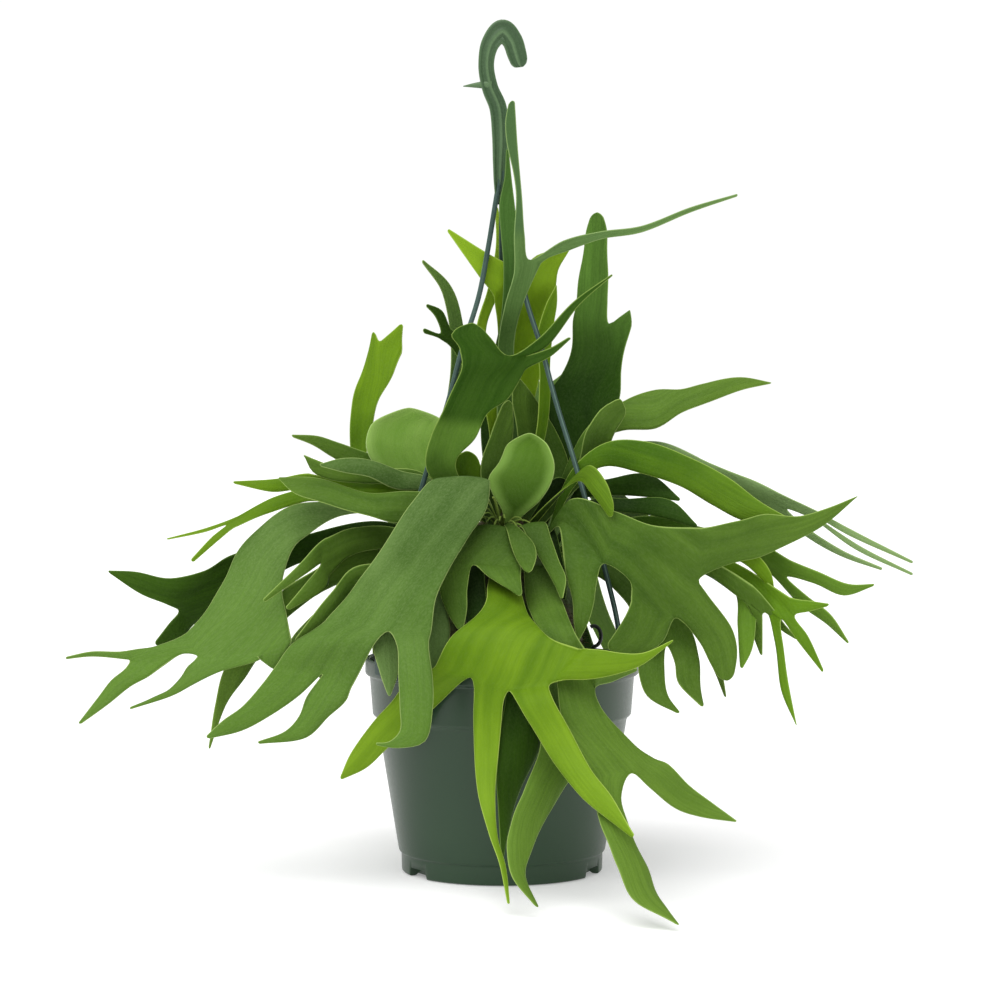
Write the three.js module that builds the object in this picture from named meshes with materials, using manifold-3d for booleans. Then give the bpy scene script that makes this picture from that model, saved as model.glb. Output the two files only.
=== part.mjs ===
// A staghorn fern in a hanging nursery pot. Millimetres, +Z up, the pot's foot centred on the origin.
import * as THREE from "three";
import { mergeVertices } from "three/addons/utils/BufferGeometryUtils.js";
import Module from "manifold-3d";

const wasm = await Module();
wasm.setup();

// Pot: radii and heights of its outside, and its wall.
const POT_HEIGHT = 160;
const LIP_RADIUS = 102.8;
const LIP_DEPTH = 12;
const BAND_TOP_RADIUS = 99.4;
const BAND_FOOT_RADIUS = 97.2;
const BAND_FOOT = 119;
const WALL_TOP_RADIUS = 94;
const WALL_FOOT_RADIUS = 77.6;
const FOOT_HEIGHT = 14;
const FOOT_RADIUS = 75.4;
const POT_WALL = 2;
const POT_FLOOR = 5;
const FLOOR_UNDERSIDE = 3;
const CENTRE_PAD_RADIUS = 14;
const PAD_SLOPE = 2;
const POT_SIDES = 40;
const FOOT_CHAMFER = 1.5;
const FOOT_DRAFT = 0.6;
const FOOT_RING_WIDTH = 5;
const FOOT_RING_SLOPE = 3;
const FOOT_NOTCHES = 3;
const FOOT_NOTCH = { width: 21, height: 6.5, depth: 3.4, first: 93.5 };
const WALL_LEDGE = 2;
const BAND_UNDERCUT = 3;
const BAND_INNER_STEP = 5;
const LIP_UNDERCUT = 2;
const LIP_SOFTENING = 1.6;
const LIP_INSIDE_STEP = 1.4;
const DRAIN_HOLES = 8;
const DRAIN_HOLE_RADIUS = 5;
const DRAIN_RING_RADIUS = 52;
const DRAIN_HOLE_SIDES = 12;
const CUT_REACH = 20;

// Growing medium and the mound of old shield fronds and roots that stands on it.
const GAP = 0.3;
const MIX_TOP = 146;
const MIX_DIP = 3;
const MIX_CROWN = 1.6;
const MIX_SHOULDERS = [88, 62];
const MIX_SLACK = { foot: 1, wall: 0.4, band: 0.4, top: 0.6 };
const MOUND_RINGS = [
  [148, 58], [170, 61], [190, 57], [210, 50], [230, 40], [245, 31], [258, 20], [266, 9],
];
const MOUND_TOP = 269;
const MOUND_SIDES = 26;
const MOUND_RELIEF = 1.8;
const MOUND_FOLDS = 5;
const MOUND_TWIST = 14;
const MOUND_SMOOTH_RADIUS = 30;

// Hanger: a hook whose shaft ends in a collar, and three strands that clip over the lip.
const STRANDS = [["strand_right", 330], ["strand_left", 210], ["strand_back", 90]];
const STRAND_WIDTH = 4.6;
const STRAND_THICKNESS = 3.2;
const STRAND_SIDES = 6;
const STRAND_STEPS = 14;
const STRAND_CURVE = [
  [99.6, 166], [98, 188], [88, 226], [63, 304], [46, 352], [34, 391], [20, 430], [12, 466], [5, 507.3],
];
const CLIP_WIDTH = 9;
const CLIP_PLATE = { thickness: 2.4, low: 151, high: 164 };
const CLIP_BRIDGE = { length: 9, height: 4 };
const CLIP_TONGUE = { length: 4, height: 8, inset: 4.4, narrowing: 2 };
const COLLAR = [[0, 508], [5.6, 508], [6.8, 514], [6.6, 540], [5.6, 562], [4, 570], [0, 570]];
const COLLAR_SIDES = 12;
const HOOK_THICKNESS = 8;
const HOOK_SIDES = 8;
const HOOK_STEPS = 20;
// Each station of the hook's spine: across, up, and the hook's width there.
const HOOK_CURVE = [
  [0, 548, 10], [-3, 571, 12.6], [-9, 586, 12], [-11.8, 603, 11.6], [-8.5, 619, 13.5], [0.5, 628, 16.5],
  [7.5, 621, 15], [11, 611, 14], [12.8, 605, 11.5], [13.3, 602.4, 7],
];
const SPUR = { base: -9, tip: -28.5, up: 587, radius: 2.9, point: 0.7, sides: 8 };

// Blades: the front elevation is drawn on the plane of the pot's axis, and each point then slides along
// the line of sight from the eye to stand its own distance nearer.
const VIEW_DISTANCE = 2025;
const EYE_HEIGHT = 352;
const EYE_ACROSS = -1.5;
const BLADE_THICKNESS = 1.1;
const ROW_PITCH = 30;
const BLADE_CUP = 0.07;
const LEAN_REACH = 16;
const LEAN_GROWTH = 80;

// A lobe is one strip of a blade, so many columns wide, out to its tip.
// A fork is a strip that splits at its sinuses into the parts that follow it.
const lobe = (columns, stations) => ({ columns, stations, sinuses: [], parts: [] });
const fork = (stations, sinuses, ...parts) => ({
  columns: parts.reduce((sum, part) => sum + part.columns, 0), stations, sinuses, parts,
});
const frond = (name, tone, lean, blade) => ({ name, tone, lean, blade });

// A frond's lean is how steeply it comes nearer across and up. A station crosses the blade: its left edge
// and right edge in the elevation, then its nearness.
const FRONDS = [
  frond("front_left", "felt", [0.9, 0], fork(
    [[-8, 252, 0, 255, 14], [-22, 281, -12, 287, 30], [-50, 293, -9, 292, 48], [-67, 277, -11, 273, 62],
      [-92, 239, -27, 247, 72], [-114, 209, -48, 209, 82], [-133, 187, -53, 180, 92]],
    [[-86, 179, 92]],
    fork(
      [[-156, 171, -97, 167, 97], [-171, 152, -113, 137, 101]],
      [[-135, 147, 101]],
      lobe(2, [[-180, 140, -152, 131, 104], [-196, 122, -175, 115, 107], [-210, 112, -196, 104, 109],
        [-223, 100, -221, 98, 111]]),
      lobe(1, [[-147, 130, -117, 127, 104], [-153, 115, -130, 115, 107], [-163, 104, -147, 99, 109],
        [-184, 96, -183, 94, 111]]),
    ),
    lobe(2, [[-79, 168, -55, 168, 107], [-78, 146, -52, 143, 120], [-77, 122, -52, 121, 126],
      [-77, 104, -58, 96, 130], [-85, 96, -78, 91, 131], [-95, 95, -94, 93, 132]]),
  )),
  frond("left_broad", "felt", [0.3, -0.3], fork(
    [[-25, 244, -21, 235, 12], [-84, 279, -80, 266, 24], [-121, 277, -120, 266, 32],
      [-156, 274, -140, 256, 38], [-184, 256, -154, 245, 44], [-199, 239, -163, 225, 50],
      [-209, 217, -165, 209, 55], [-221, 196, -162, 191, 60], [-237, 178, -158, 172, 64]],
    [[-229, 160, 66], [-184, 160, 67]],
    fork(
      [[-261, 168, -240, 162, 66], [-274, 166, -256, 152, 67]],
      [[-280, 157, 67]],
      lobe(1, [[-287, 164, -285, 158, 68], [-309, 164, -308, 160, 68], [-328, 160, -328, 158, 68]]),
      lobe(1, [[-283, 151, -266, 145, 69], [-294, 142, -279, 138, 70], [-305, 128, -295, 125, 72],
        [-319, 110, -317, 109, 73]]),
    ),
    lobe(2, [[-236, 153, -182, 158, 68], [-242, 145, -210, 149, 70], [-252, 134, -232, 139, 71],
      [-265, 128, -250, 130, 72], [-280, 122, -280, 120, 73]]),
    lobe(1, [[-181, 157, -164, 161, 65], [-173, 151, -171, 151, 63]]),
  )),
  frond("left_dark", "dark", [-0.65, 0.65], fork(
    [[-30, 240, -27, 228, -2], [-91, 262, -88, 250, 6], [-151, 251, -148, 232, 14],
      [-201, 237, -199, 205, 20], [-223, 225, -232, 184, 24]],
    [[-243, 194, 25]],
    lobe(2, [[-249, 219, -251, 199, 26], [-275, 224, -271, 207, 28], [-296, 225, -295, 223, 30]]),
    lobe(1, [[-250, 185, -241, 172, 26], [-262, 170, -258, 168, 28]]),
  )),
  frond("left_hanging", "mid", [-0.65, 0.65], lobe(2,
    [[-26, 232, -22, 222, 12], [-76, 247, -73, 234, 20], [-129, 232, -121, 216, 30],
      [-174, 202, -163, 188, 40], [-196, 176, -180, 163, 46], [-210, 148, -191, 147, 50],
      [-216, 123, -207, 125, 53], [-221, 92, -220, 90, 56]])),
  frond("left_inner", "mid", [-0.9, 0], fork(
    [[-32, 226, -28, 214, 18], [-76, 256, -76, 240, 30], [-112, 257, -114, 236, 50],
      [-133, 249, -129, 222, 56]],
    [[-136, 230, 57]],
    lobe(1, [[-151, 231, -148, 222, 62], [-180, 203, -178, 201, 66]]),
    lobe(1, [[-145, 218, -131, 213, 61], [-163, 197, -160, 195, 64]]),
  )),
  frond("left_narrow", "mid", [-0.3, 0.3], lobe(2,
    [[-28, 214, -24, 204, 28], [-76, 229, -75, 217, 54], [-112, 227, -108, 209, 60],
      [-129, 208, -123, 193, 66], [-156, 173, -154, 171, 72]])),
  frond("left_under", "felt", [-0.9, 0], fork(
    [[-30, 222, -24, 214, 30], [-56, 212, -40, 204, 58], [-84, 196, -40, 190, 74]],
    [[-66, 188, 76]],
    lobe(2, [[-97, 170, -76, 172, 82], [-92, 148, -78, 148, 88], [-86, 131, -84, 130, 90]]),
    lobe(2, [[-60, 178, -39, 178, 86], [-58, 161, -43, 163, 98], [-53, 148, -51, 148, 104]]),
  )),
  frond("centre_under", "dark", [0.9, 0], lobe(2,
    [[-14, 232, -8, 232, 24], [-26, 226, -13, 227, 51], [-28, 205, -12, 208, 58], [-27, 185, -10, 185, 72],
      [-20, 168, -18, 167, 86]])),
  frond("left_front", "mid", [0, -0.9], lobe(2,
    [[-14, 248, -10, 241, 18], [-39, 281, -39, 268, 32], [-69, 284, -76, 261, 44],
      [-103, 284, -102, 266, 50], [-132, 293, -136, 276, 53], [-152, 295, -157, 284, 55],
      [-168, 295, -167, 293, 57]])),
  frond("left_yellow", "lime", [0, -0.65], fork(
    [[-22, 254, -19, 247, 2], [-76, 292, -73, 278, 17], [-118, 293, -118, 277, 24],
      [-145, 298, -145, 277, 30]],
    [[-152, 286, 30]],
    lobe(1, [[-168, 294, -172, 284, 32], [-202, 292, -201, 290, 34]]),
    fork(
      [[-174, 279, -178, 267, 33], [-198, 266, -201, 257, 35]],
      [[-207, 259, 35]],
      lobe(1, [[-222, 257, -222, 254, 36], [-252, 249, -251, 248, 37]]),
      lobe(1, [[-217, 251, -211, 249, 36], [-234, 233, -232, 231, 37]]),
    ),
  )),
  frond("left_tip_low", "mid", [0, 0], lobe(1,
    [[-20, 256, -16, 250, -8], [-61, 299, -58, 288, 11], [-99, 301, -99, 290, 16],
      [-125, 303, -129, 293, 20], [-139, 308, -142, 299, 21], [-149, 312, -148, 310, 22]])),
  frond("left_tip_high", "mid", [-0.3, -0.3], lobe(2,
    [[-16, 260, -12, 254, -14], [-61, 305, -58, 293, -14], [-99, 313, -105, 298, -8],
      [-123, 321, -127, 310, -4], [-138, 326, -142, 319, 0], [-158, 327, -157, 325, 4]])),
  frond("left_top_felt", "felt", [-0.65, -0.65], lobe(2,
    [[-18, 254, -14, 248, 12], [-54, 294, -54, 283, 25], [-76, 300, -80, 286, 31],
      [-99, 308, -100, 295, 36], [-121, 309, -120, 299, 38], [-137, 305, -136, 303, 40]])),
  frond("left_upright", "lime", [0.9, 0], fork(
    [[-30, 236, -24, 236, -22], [-91, 277, -80, 273, -28], [-112, 307, -101, 304, -24],
      [-114, 329, -98, 328, -20], [-112, 352, -93, 352, -18], [-106, 373, -81, 373, -16],
      [-100, 390, -75, 388, -16]],
    [[-92, 397, -16]],
    lobe(1, [[-97, 404, -95, 403, -16]]),
    lobe(1, [[-86, 401, -75, 398, -16], [-76, 410, -74, 409, -16]]),
  )),
  frond("shield_left", "shield", [0, 0], lobe(4,
    [[-20, 254, -14, 254, -2], [-68, 285, -54, 283, 3], [-92, 300, -48, 298, 5], [-102, 318, -43, 318, 5],
      [-97, 337, -43, 337, 3], [-84, 347, -55, 347, 0]])),
  frond("shield_middle", "shield", [0.9, 0], lobe(4,
    [[2, 258, 8, 258, 14], [0, 270, 18, 268, 20], [-7, 282, 29, 278, 25], [-10, 294, 37, 291, 27],
      [-2, 306, 39, 305, 26], [4, 320, 34, 320, 23], [12, 328, 29, 328, 21]])),
  frond("shield_dark", "dark", [-0.65, 0.65], lobe(2,
    [[12, 250, 17, 245, 6], [27, 274, 34, 264, 8], [36, 292, 46, 275, 9], [46, 297, 51, 288, 9]])),
  frond("young_right", "mid", [0.9, 0], lobe(2,
    [[8, 244, 14, 240, 24], [14, 258, 32, 261, 50], [21, 246, 37, 249, 60], [30, 231, 43, 232, 68],
      [38, 217, 48, 219, 75], [44, 204, 46, 204, 80]])),
  frond("centre_dark", "mid", [0.65, -0.65], fork(
    [[-12, 242, -2, 242, 22], [-21, 258, 3, 257, 50], [-35, 241, 8, 240, 62], [-44, 226, 14, 228, 70]],
    [[-22, 229, 71]],
    lobe(2, [[-47, 211, -26, 213, 71], [-42, 195, -26, 197, 73], [-33, 180, -29, 180, 75]]),
    lobe(2, [[-11, 221, 14, 220, 79], [5, 211, 16, 203, 86]]),
  )),
  frond("front_bright", "bright", [0.45, 0.45], fork(
    [[-8, 226, 2, 224, 32], [-11, 213, 13, 210, 67], [-14, 197, 21, 191, 89], [-39, 174, 36, 174, 107],
      [-50, 153, 58, 166, 114]],
    [[-23, 144, 119], [5, 134, 122], [36, 139, 122]],
    lobe(2, [[-72, 140, -48, 124, 110], [-84, 125, -69, 104, 106], [-96, 112, -85, 92, 103],
      [-114, 87, -102, 76, 102], [-122, 69, -121, 67, 102]]),
    lobe(2, [[-21, 119, 1, 125, 126], [-21, 89, -2, 93, 142], [-18, 56, -5, 56, 160], [-10, 26, -3, 23, 178],
      [-2, 3, 3, 1, 190], [4, -27, 6, -27, 204]]),
    lobe(2, [[11, 126, 38, 129, 133], [23, 106, 53, 101, 143], [41, 77, 67, 75, 160], [61, 53, 80, 58, 177],
      [98, 23, 100, 25, 200]]),
    lobe(1, [[46, 142, 64, 166, 124], [66, 143, 76, 165, 126], [83, 146, 88, 163, 127],
      [104, 153, 106, 163, 128], [128, 171, 129, 173, 128]]),
  )),
  frond("front_under", "dark", [-0.65, 0], lobe(2,
    [[-6, 214, 4, 212, 30], [-8, 190, 6, 188, 80], [-6, 168, 12, 168, 106], [2, 140, 21, 134, 112],
      [-2, 97, 29, 95, 119], [-4, 59, 14, 61, 124], [-2, 29, 5, 28, 130], [-1, 8, 1, 7, 134]])),
  frond("front_middle", "mid", [-0.9, 0], lobe(2,
    [[8, 210, 16, 206, 32], [12, 190, 26, 186, 78], [14, 168, 32, 166, 103], [24, 134, 46, 134, 108],
      [29, 93, 58, 82, 122], [16, 59, 48, 62, 138], [7, 35, 33, 37, 152], [4, 14, 22, 13, 168],
      [7, -6, 18, -6, 182], [25, -29, 28, -30, 196]])),
  frond("front_right", "mid", [-0.65, 0], fork(
    [[12, 222, 20, 218, 32], [16, 226, 32, 228, 46], [18, 203, 44, 204, 68], [30, 174, 56, 176, 102],
      [40, 149, 70, 156, 112]],
    [[70, 136, 110]],
    fork(
      [[44, 118, 75, 121, 119], [52, 93, 97, 96, 129], [63, 68, 115, 83, 143]],
      [[98, 72, 148]],
      lobe(2, [[70, 48, 90, 54, 163], [77, 26, 96, 30, 184], [86, 3, 110, 1, 208], [98, -22, 119, -23, 233],
        [132, -43, 134, -43, 257]]),
      lobe(2, [[111, 61, 125, 79, 150], [131, 45, 141, 63, 157], [149, 39, 158, 50, 162],
        [176, 35, 177, 36, 167]]),
    ),
    lobe(1, [[83, 141, 84, 153, 103], [101, 149, 102, 151, 102]]),
  )),
  frond("right_large", "mid", [-0.3, 0.3], fork(
    [[24, 234, 30, 242, 12], [42, 258, 54, 279, 43], [46, 235, 89, 268, 60]],
    [[76, 230, 61]],
    lobe(2, [[49, 219, 71, 215, 64], [53, 202, 69, 200, 67], [54, 185, 65, 186, 71], [56, 173, 58, 172, 74]]),
    fork(
      [[96, 217, 112, 259, 62], [97, 202, 150, 257, 66]],
      [[130, 189, 66], [148, 218, 66]],
      lobe(2, [[84, 176, 121, 172, 71], [74, 164, 100, 158, 74]]),
      lobe(2, [[136, 186, 153, 209, 67], [149, 170, 173, 181, 69], [156, 156, 177, 164, 71],
        [164, 142, 174, 142, 73]]),
      lobe(2, [[170, 229, 178, 263, 65], [195, 236, 197, 267, 63], [222, 248, 224, 266, 61],
        [242, 259, 244, 272, 59], [266, 280, 267, 281, 57]]),
    ),
  )),
  frond("right_small_bright", "lime", [0.9, 0], lobe(2,
    [[13, 254, 17, 249, 14], [40, 281, 47, 285, 48], [58, 292, 66, 304, 58], [68, 282, 78, 291, 64],
      [82, 262, 85, 273, 66]])),
  frond("right_small_upright", "mid", [-0.65, 0.65], lobe(2,
    [[18, 254, 23, 250, 12], [46, 286, 54, 284, 17], [58, 308, 75, 305, 19], [64, 331, 83, 326, 19],
      [74, 346, 93, 343, 18], [87, 354, 90, 353, 18]])),
  frond("right_tall", "dark", [0.65, 0], fork(
    [[14, 254, 22, 250, -10], [42, 292, 58, 289, -14], [38, 322, 76, 322, -16], [35, 356, 88, 354, -20],
      [45, 373, 89, 375, -22], [52, 393, 93, 393, -24], [53, 412, 97, 408, -26]],
    [[80, 410, -26]],
    lobe(2, [[56, 427, 79, 427, -28], [58, 448, 79, 450, -30], [61, 466, 79, 466, -30],
      [63, 480, 78.5, 480, -30], [67, 493, 75, 493, -30]]),
    lobe(1, [[88, 415, 97, 414, -27], [95, 420, 96, 420, -28]]),
  )),
  frond("right_upper", "mid", [0, -0.4], lobe(2,
    [[26, 242, 28, 249, -4], [66, 318, 62, 330, -2], [90, 330, 88, 350, 0], [115, 331, 115, 361, 3],
      [134, 343, 134, 361, 5], [149, 349, 150, 365, 7], [179, 360, 179, 370, 10], [201, 365, 202, 366, 10]])),
  frond("right_arching", "lime", [0, 0], lobe(2,
    [[28, 228, 29, 236, 8], [56, 290, 52, 300, 26], [77, 303, 78, 321, 33], [104, 298, 107, 322, 37],
      [134, 288, 143, 309, 39], [158, 274, 171, 294, 41], [182, 262, 195, 276, 43],
      [224, 257, 226, 259, 45]])),
  frond("right_pale", "felt", [0.65, 0.65], fork(
    [[28, 238, 30, 246, -2], [70, 302, 68, 310, 6], [115, 311, 115, 322, 14], [152, 294, 158, 305, 18],
      [182, 279, 190, 292, 20], [205, 266, 221, 277, 22]],
    [[214, 271, 22]],
    lobe(1, [[227, 251, 231, 256, 24], [254, 236, 256, 240, 25], [285, 225, 286, 227, 26]]),
    fork(
      [[231, 265, 236, 270, 24]],
      [[234, 267, 24]],
      lobe(1, [[265, 241, 268, 244, 25], [308, 221, 309, 223, 26]]),
      lobe(1, [[259, 252, 262, 256, 26], [308, 230, 309, 232, 28]]),
    ),
  )),
  frond("right_low_bright", "lime", [0.65, 0.65], fork(
    [[30, 230, 31, 238, 6], [104, 252, 104, 266, 18], [148, 243, 152, 257, 22], [186, 232, 197, 245, 26],
      [202, 222, 216, 233, 28]],
    [[214, 220, 29]],
    lobe(1, [[223, 200, 229, 206, 30], [243, 185, 248, 191, 31], [260, 170, 261, 171, 32]]),
    lobe(1, [[235, 215, 238, 224, 30], [257, 206, 260, 215, 31], [279, 213, 280, 215, 32]]),
  )),
  frond("right_under", "lime", [0.9, 0], fork(
    [[30, 222, 32, 230, 16], [89, 240, 90, 253, 34], [134, 230, 138, 245, 42], [175, 217, 179, 229, 46],
      [197, 198, 216, 205, 48]],
    [[210, 188, 49], [220, 191, 49]],
    lobe(1, [[205, 172, 212, 165, 50], [210, 135, 217, 133, 51], [221, 109, 222, 108, 52]]),
    lobe(1, [[222, 172, 230, 176, 50], [241, 148, 242, 150, 52]]),
    lobe(1, [[231, 194, 233, 202, 50], [245, 198, 246, 200, 51]]),
  )),
  frond("right_hanging", "lime", [0.65, -0.65], lobe(2,
    [[32, 216, 34, 224, 4], [104, 230, 107, 241, 14], [148, 224, 156, 235, 20], [175, 208, 190, 210, 26],
      [177, 184, 191, 186, 30], [178, 166, 188, 165, 32], [179, 152, 181, 151, 34]])),
  frond("right_hanging_pair", "mid", [-0.65, -0.65], fork(
    [[28, 206, 32, 212, 20], [66, 222, 73, 233, 33], [92, 202, 107, 211, 49], [104, 174, 141, 182, 53]],
    [[124, 168, 54]],
    lobe(2, [[103, 148, 122, 148, 58], [109, 130, 125, 131, 62], [132, 117, 134, 118, 66]]),
    lobe(2, [[130, 156, 148, 159, 56], [133, 139, 149, 141, 59], [150, 122, 152, 123, 62]]),
  )),
  frond("right_dark_upper", "dark", [0.65, -0.65], lobe(2,
    [[28, 234, 29, 240, -10], [54, 276, 53, 286, -2], [83, 281, 80, 294, 10], [110, 280, 111, 297, 18],
      [133, 277, 134, 279, 22]])),
  frond("right_dark_lower", "dark", [0.65, -0.65], lobe(2,
    [[29, 229, 30, 235, 14], [66, 267, 64, 277, 30], [96, 268, 95, 279, 36], [122, 264, 126, 278, 38],
      [146, 256, 147, 259, 40]])),
  frond("swoop", "mid", [-0.65, 0.65], fork(
    [[2, 258, 8, 258, -2], [-2, 300, 12, 300, 0], [-4, 352, 14, 352, 2], [-3, 395, 9, 391, 13],
      [3, 427, 15, 423, 24], [9, 448, 29, 455, 22]],
    [[20, 458, 21]],
    lobe(1, [[9, 476, 17, 476, 18], [10.5, 505, 15, 505, 16], [8.5, 522, 13.5, 522, 14.5],
      [3.5, 545, 11.5, 545, 13], [2.5, 561, 10.5, 561, 12.5], [5, 575, 9.5, 577, 12]]),
    lobe(1, [[46, 472, 51, 465, 16], [74, 479, 74, 473, 12], [104, 483, 104, 478, 8], [141, 497, 141, 493, 4],
      [176, 507, 176, 505, 0]]),
  )),
  frond("cupped", "dark", [-0.65, 0.35], fork(
    [[-10, 258, -4, 260, 8], [-57, 302, -35, 305, 38], [-53, 327, -20, 324, 38], [-43, 348, -10, 343, 35],
      [-35, 364, 3, 353, 33], [-30, 378, 11, 364, 33], [-32, 392, 17, 375, 33]],
    [[5, 386, 33], [18, 386, 34]],
    lobe(2, [[-38, 402, -8, 399, 33], [-27, 411, -17, 410, 31]]),
    lobe(1, [[27, 399, 33, 392, 36], [54, 427, 58, 424, 35], [82, 447, 83, 446, 32]]),
    lobe(1, [[36, 392, 36, 385, 38], [50, 400, 52, 399, 39]]),
  )),
  frond("upper_young", "mid", [-0.9, 0], lobe(2,
    [[-8, 260, -2, 260, 4], [-16, 300, 1, 299, 10], [-9, 326, 8, 323, 10], [1, 352, 8, 353, 10]])),
  frond("upper_slant", "mid", [-0.9, 0], lobe(2,
    [[10, 258, 16, 256, 0], [17, 299, 50, 298, -8], [11, 329, 40, 331, -9], [8, 352, 25, 354, -10],
      [9, 368, 13, 370, -10]])),
  frond("back_bright", "lime", [-0.65, 0.65], fork(
    [[4, 258, 10, 258, -10], [2, 337, 21, 337, -14], [-2, 386, 32, 386, -13], [-4, 412, 37, 412, -12],
      [-6, 430, 40, 436, -10]],
    [[14, 452, -9]],
    lobe(2, [[-17, 445, -4, 459, -12], [-41, 479, -40, 481, -16]]),
    lobe(2, [[26, 461, 42, 450, -12], [49, 467, 51, 466, -14]]),
  )),
  frond("back_strip", "bright", [-0.9, 0], lobe(2,
    [[-2, 262, 4, 260, -8], [-10, 330, 0, 330, -16], [-20, 402, -12, 402, -22], [-11, 434, -3, 434, -24],
      [-5, 464, 2, 464, -22], [-5, 497, -3, 497, -20]])),
  frond("back_centre", "dark", [0.2, 0], lobe(2,
    [[-8, 256, -2, 256, -18], [-16, 340, -6, 340, -30], [-8, 380, 3, 380, -20], [-1, 414, 9, 414, 4],
      [1, 440, 10, 440, 9], [1, 456, 9.5, 456, 12], [-1, 478, 11.5, 478, 13], [-2, 499, 9.5, 499, 12],
      [2, 520, 7, 520, 11.5], [3, 540, 5, 540, 10]])),
  frond("upper_left_thin", "felt", [-0.9, 0], lobe(1,
    [[-24, 246, -18, 248, -14], [-42, 330, -34, 332, -34], [-38, 392, -28, 398, -36],
      [-45, 433, -38, 438, -32], [-60, 456, -59, 458, -30]])),
  frond("upper_left_dark", "dark", [-0.9, 0], fork(
    [[-27, 243, -22, 245, -12], [-42, 330, -34, 332, -8], [-28, 370, -20, 374, -6], [-38, 392, -27, 398, -6],
      [-47, 399, -38, 406, -6]],
    [[-46, 403, -6]],
    lobe(1, [[-59, 403, -59, 407, -6]]),
    lobe(1, [[-50, 415, -45, 420, -7], [-57, 423, -56, 425, -8]]),
  )),
];

// Back fronds stand in an upright plane through the axis. A station there is how far out it is, how high,
// its offset to the side and its half-width.
const BACK_BLADES = {
  arching: fork(
    [[14, 236, 0, 4], [48, 268, 0, 7], [92, 276, 0, 14], [132, 258, 0, 24], [160, 232, 0, 30]],
    [[174, 208, 4]],
    lobe(2, [[182, 196, -22, 12], [204, 160, -34, 9], [218, 126, -42, 5], [224, 104, -46, 1]]),
    lobe(2, [[186, 198, 26, 13], [216, 172, 38, 9], [238, 140, 44, 5], [248, 118, 48, 1]]),
  ),
  drooping: fork(
    [[30, 206, 0, 4], [66, 216, 0, 7], [104, 204, 0, 13], [128, 176, 0, 20], [140, 150, 0, 24]],
    [[150, 130, -2]],
    lobe(1, [[152, 116, -18, 9], [160, 84, -26, 7], [166, 50, -30, 1]]),
    lobe(2, [[158, 118, 18, 11], [174, 86, 26, 9], [186, 52, 36, 5], [192, 30, 40, 1]]),
  ),
  short: fork(
    [[30, 216, 0, 4], [62, 236, 0, 8], [94, 232, 0, 16], [116, 210, 0, 22]],
    [[126, 190, -2]],
    lobe(1, [[132, 176, -20, 8], [140, 158, -26, 1]]),
    lobe(2, [[130, 180, 16, 11], [142, 156, 24, 7], [150, 138, 30, 1]]),
  ),
  rising: fork(
    [[8, 250, 0, 4], [30, 296, 0, 8], [52, 336, 0, 14], [72, 366, 0, 19], [88, 384, 0, 22]],
    [[100, 396, 2]],
    lobe(1, [[106, 404, -16, 8], [128, 418, -24, 5], [146, 420, -28, 1]]),
    lobe(2, [[110, 400, 18, 10], [136, 408, 26, 7], [164, 400, 32, 1]]),
  ),
};
const BACK_FRONDS = [
  { name: "back_arching_a", tone: "mid", blade: "arching", azimuth: 40, reach: 0.85, lift: 16 },
  { name: "back_arching_b", tone: "felt", blade: "arching", azimuth: 74, reach: 1, lift: -6 },
  { name: "back_arching_c", tone: "bright", blade: "arching", azimuth: 116, reach: 0.94, lift: 8 },
  { name: "back_arching_d", tone: "mid", blade: "arching", azimuth: 132, reach: 0.9, lift: -6 },
  { name: "back_drooping_a", tone: "dark", blade: "drooping", azimuth: 66, reach: 0.94, lift: 0 },
  { name: "back_drooping_b", tone: "mid", blade: "drooping", azimuth: 102, reach: 1, lift: 0 },
  { name: "back_short", tone: "dark", blade: "short", azimuth: 146, reach: 1, lift: 0 },
  { name: "back_rising_a", tone: "felt", blade: "rising", azimuth: 68, reach: 0.9, lift: -34 },
];

const TONES = {
  felt: [0x5c8a45, 0.72],
  mid: [0x4f8a2b, 0.62],
  bright: [0x7aa72c, 0.58],
  lime: [0x76a82a, 0.58],
  dark: [0x33651b, 0.64],
  shield: [0x7fae4c, 0.6],
};

const turned = (azimuth) => THREE.MathUtils.degToRad(azimuth);

// Solids and geometry.
function solidOf(geometry) {
  const bare = geometry.clone();
  bare.deleteAttribute("normal");
  bare.deleteAttribute("uv");
  const merged = mergeVertices(bare, 1e-4);
  return new wasm.Manifold(new wasm.Mesh({
    numProp: 3,
    vertProperties: new Float32Array(merged.attributes.position.array),
    triVerts: new Uint32Array(merged.index.array),
  }));
}

function geometryOf(solid) {
  const { vertProperties, triVerts, numProp } = solid.getMesh();
  const geometry = new THREE.BufferGeometry();
  const positions = new Float32Array((vertProperties.length / numProp) * 3);
  for (let i = 0; i < positions.length / 3; i += 1) {
    for (let axis = 0; axis < 3; axis += 1) positions[3 * i + axis] = vertProperties[numProp * i + axis];
  }
  geometry.setAttribute("position", new THREE.BufferAttribute(positions, 3));
  geometry.setIndex(new THREE.BufferAttribute(new Uint32Array(triVerts), 1));
  geometry.computeVertexNormals();
  return geometry;
}

// A revolved profile of [radius, height] points, standing on +Z.
function revolved(profile, sides) {
  const points = profile.map(([radius, height]) => new THREE.Vector2(radius, height));
  return new THREE.LatheGeometry(points, sides).rotateX(Math.PI / 2);
}

function meshOf(name, geometry, color, roughness, metalness = 0) {
  const mesh = new THREE.Mesh(geometry, new THREE.MeshStandardMaterial({ color, roughness, metalness }));
  mesh.name = name;
  return mesh;
}

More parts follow.
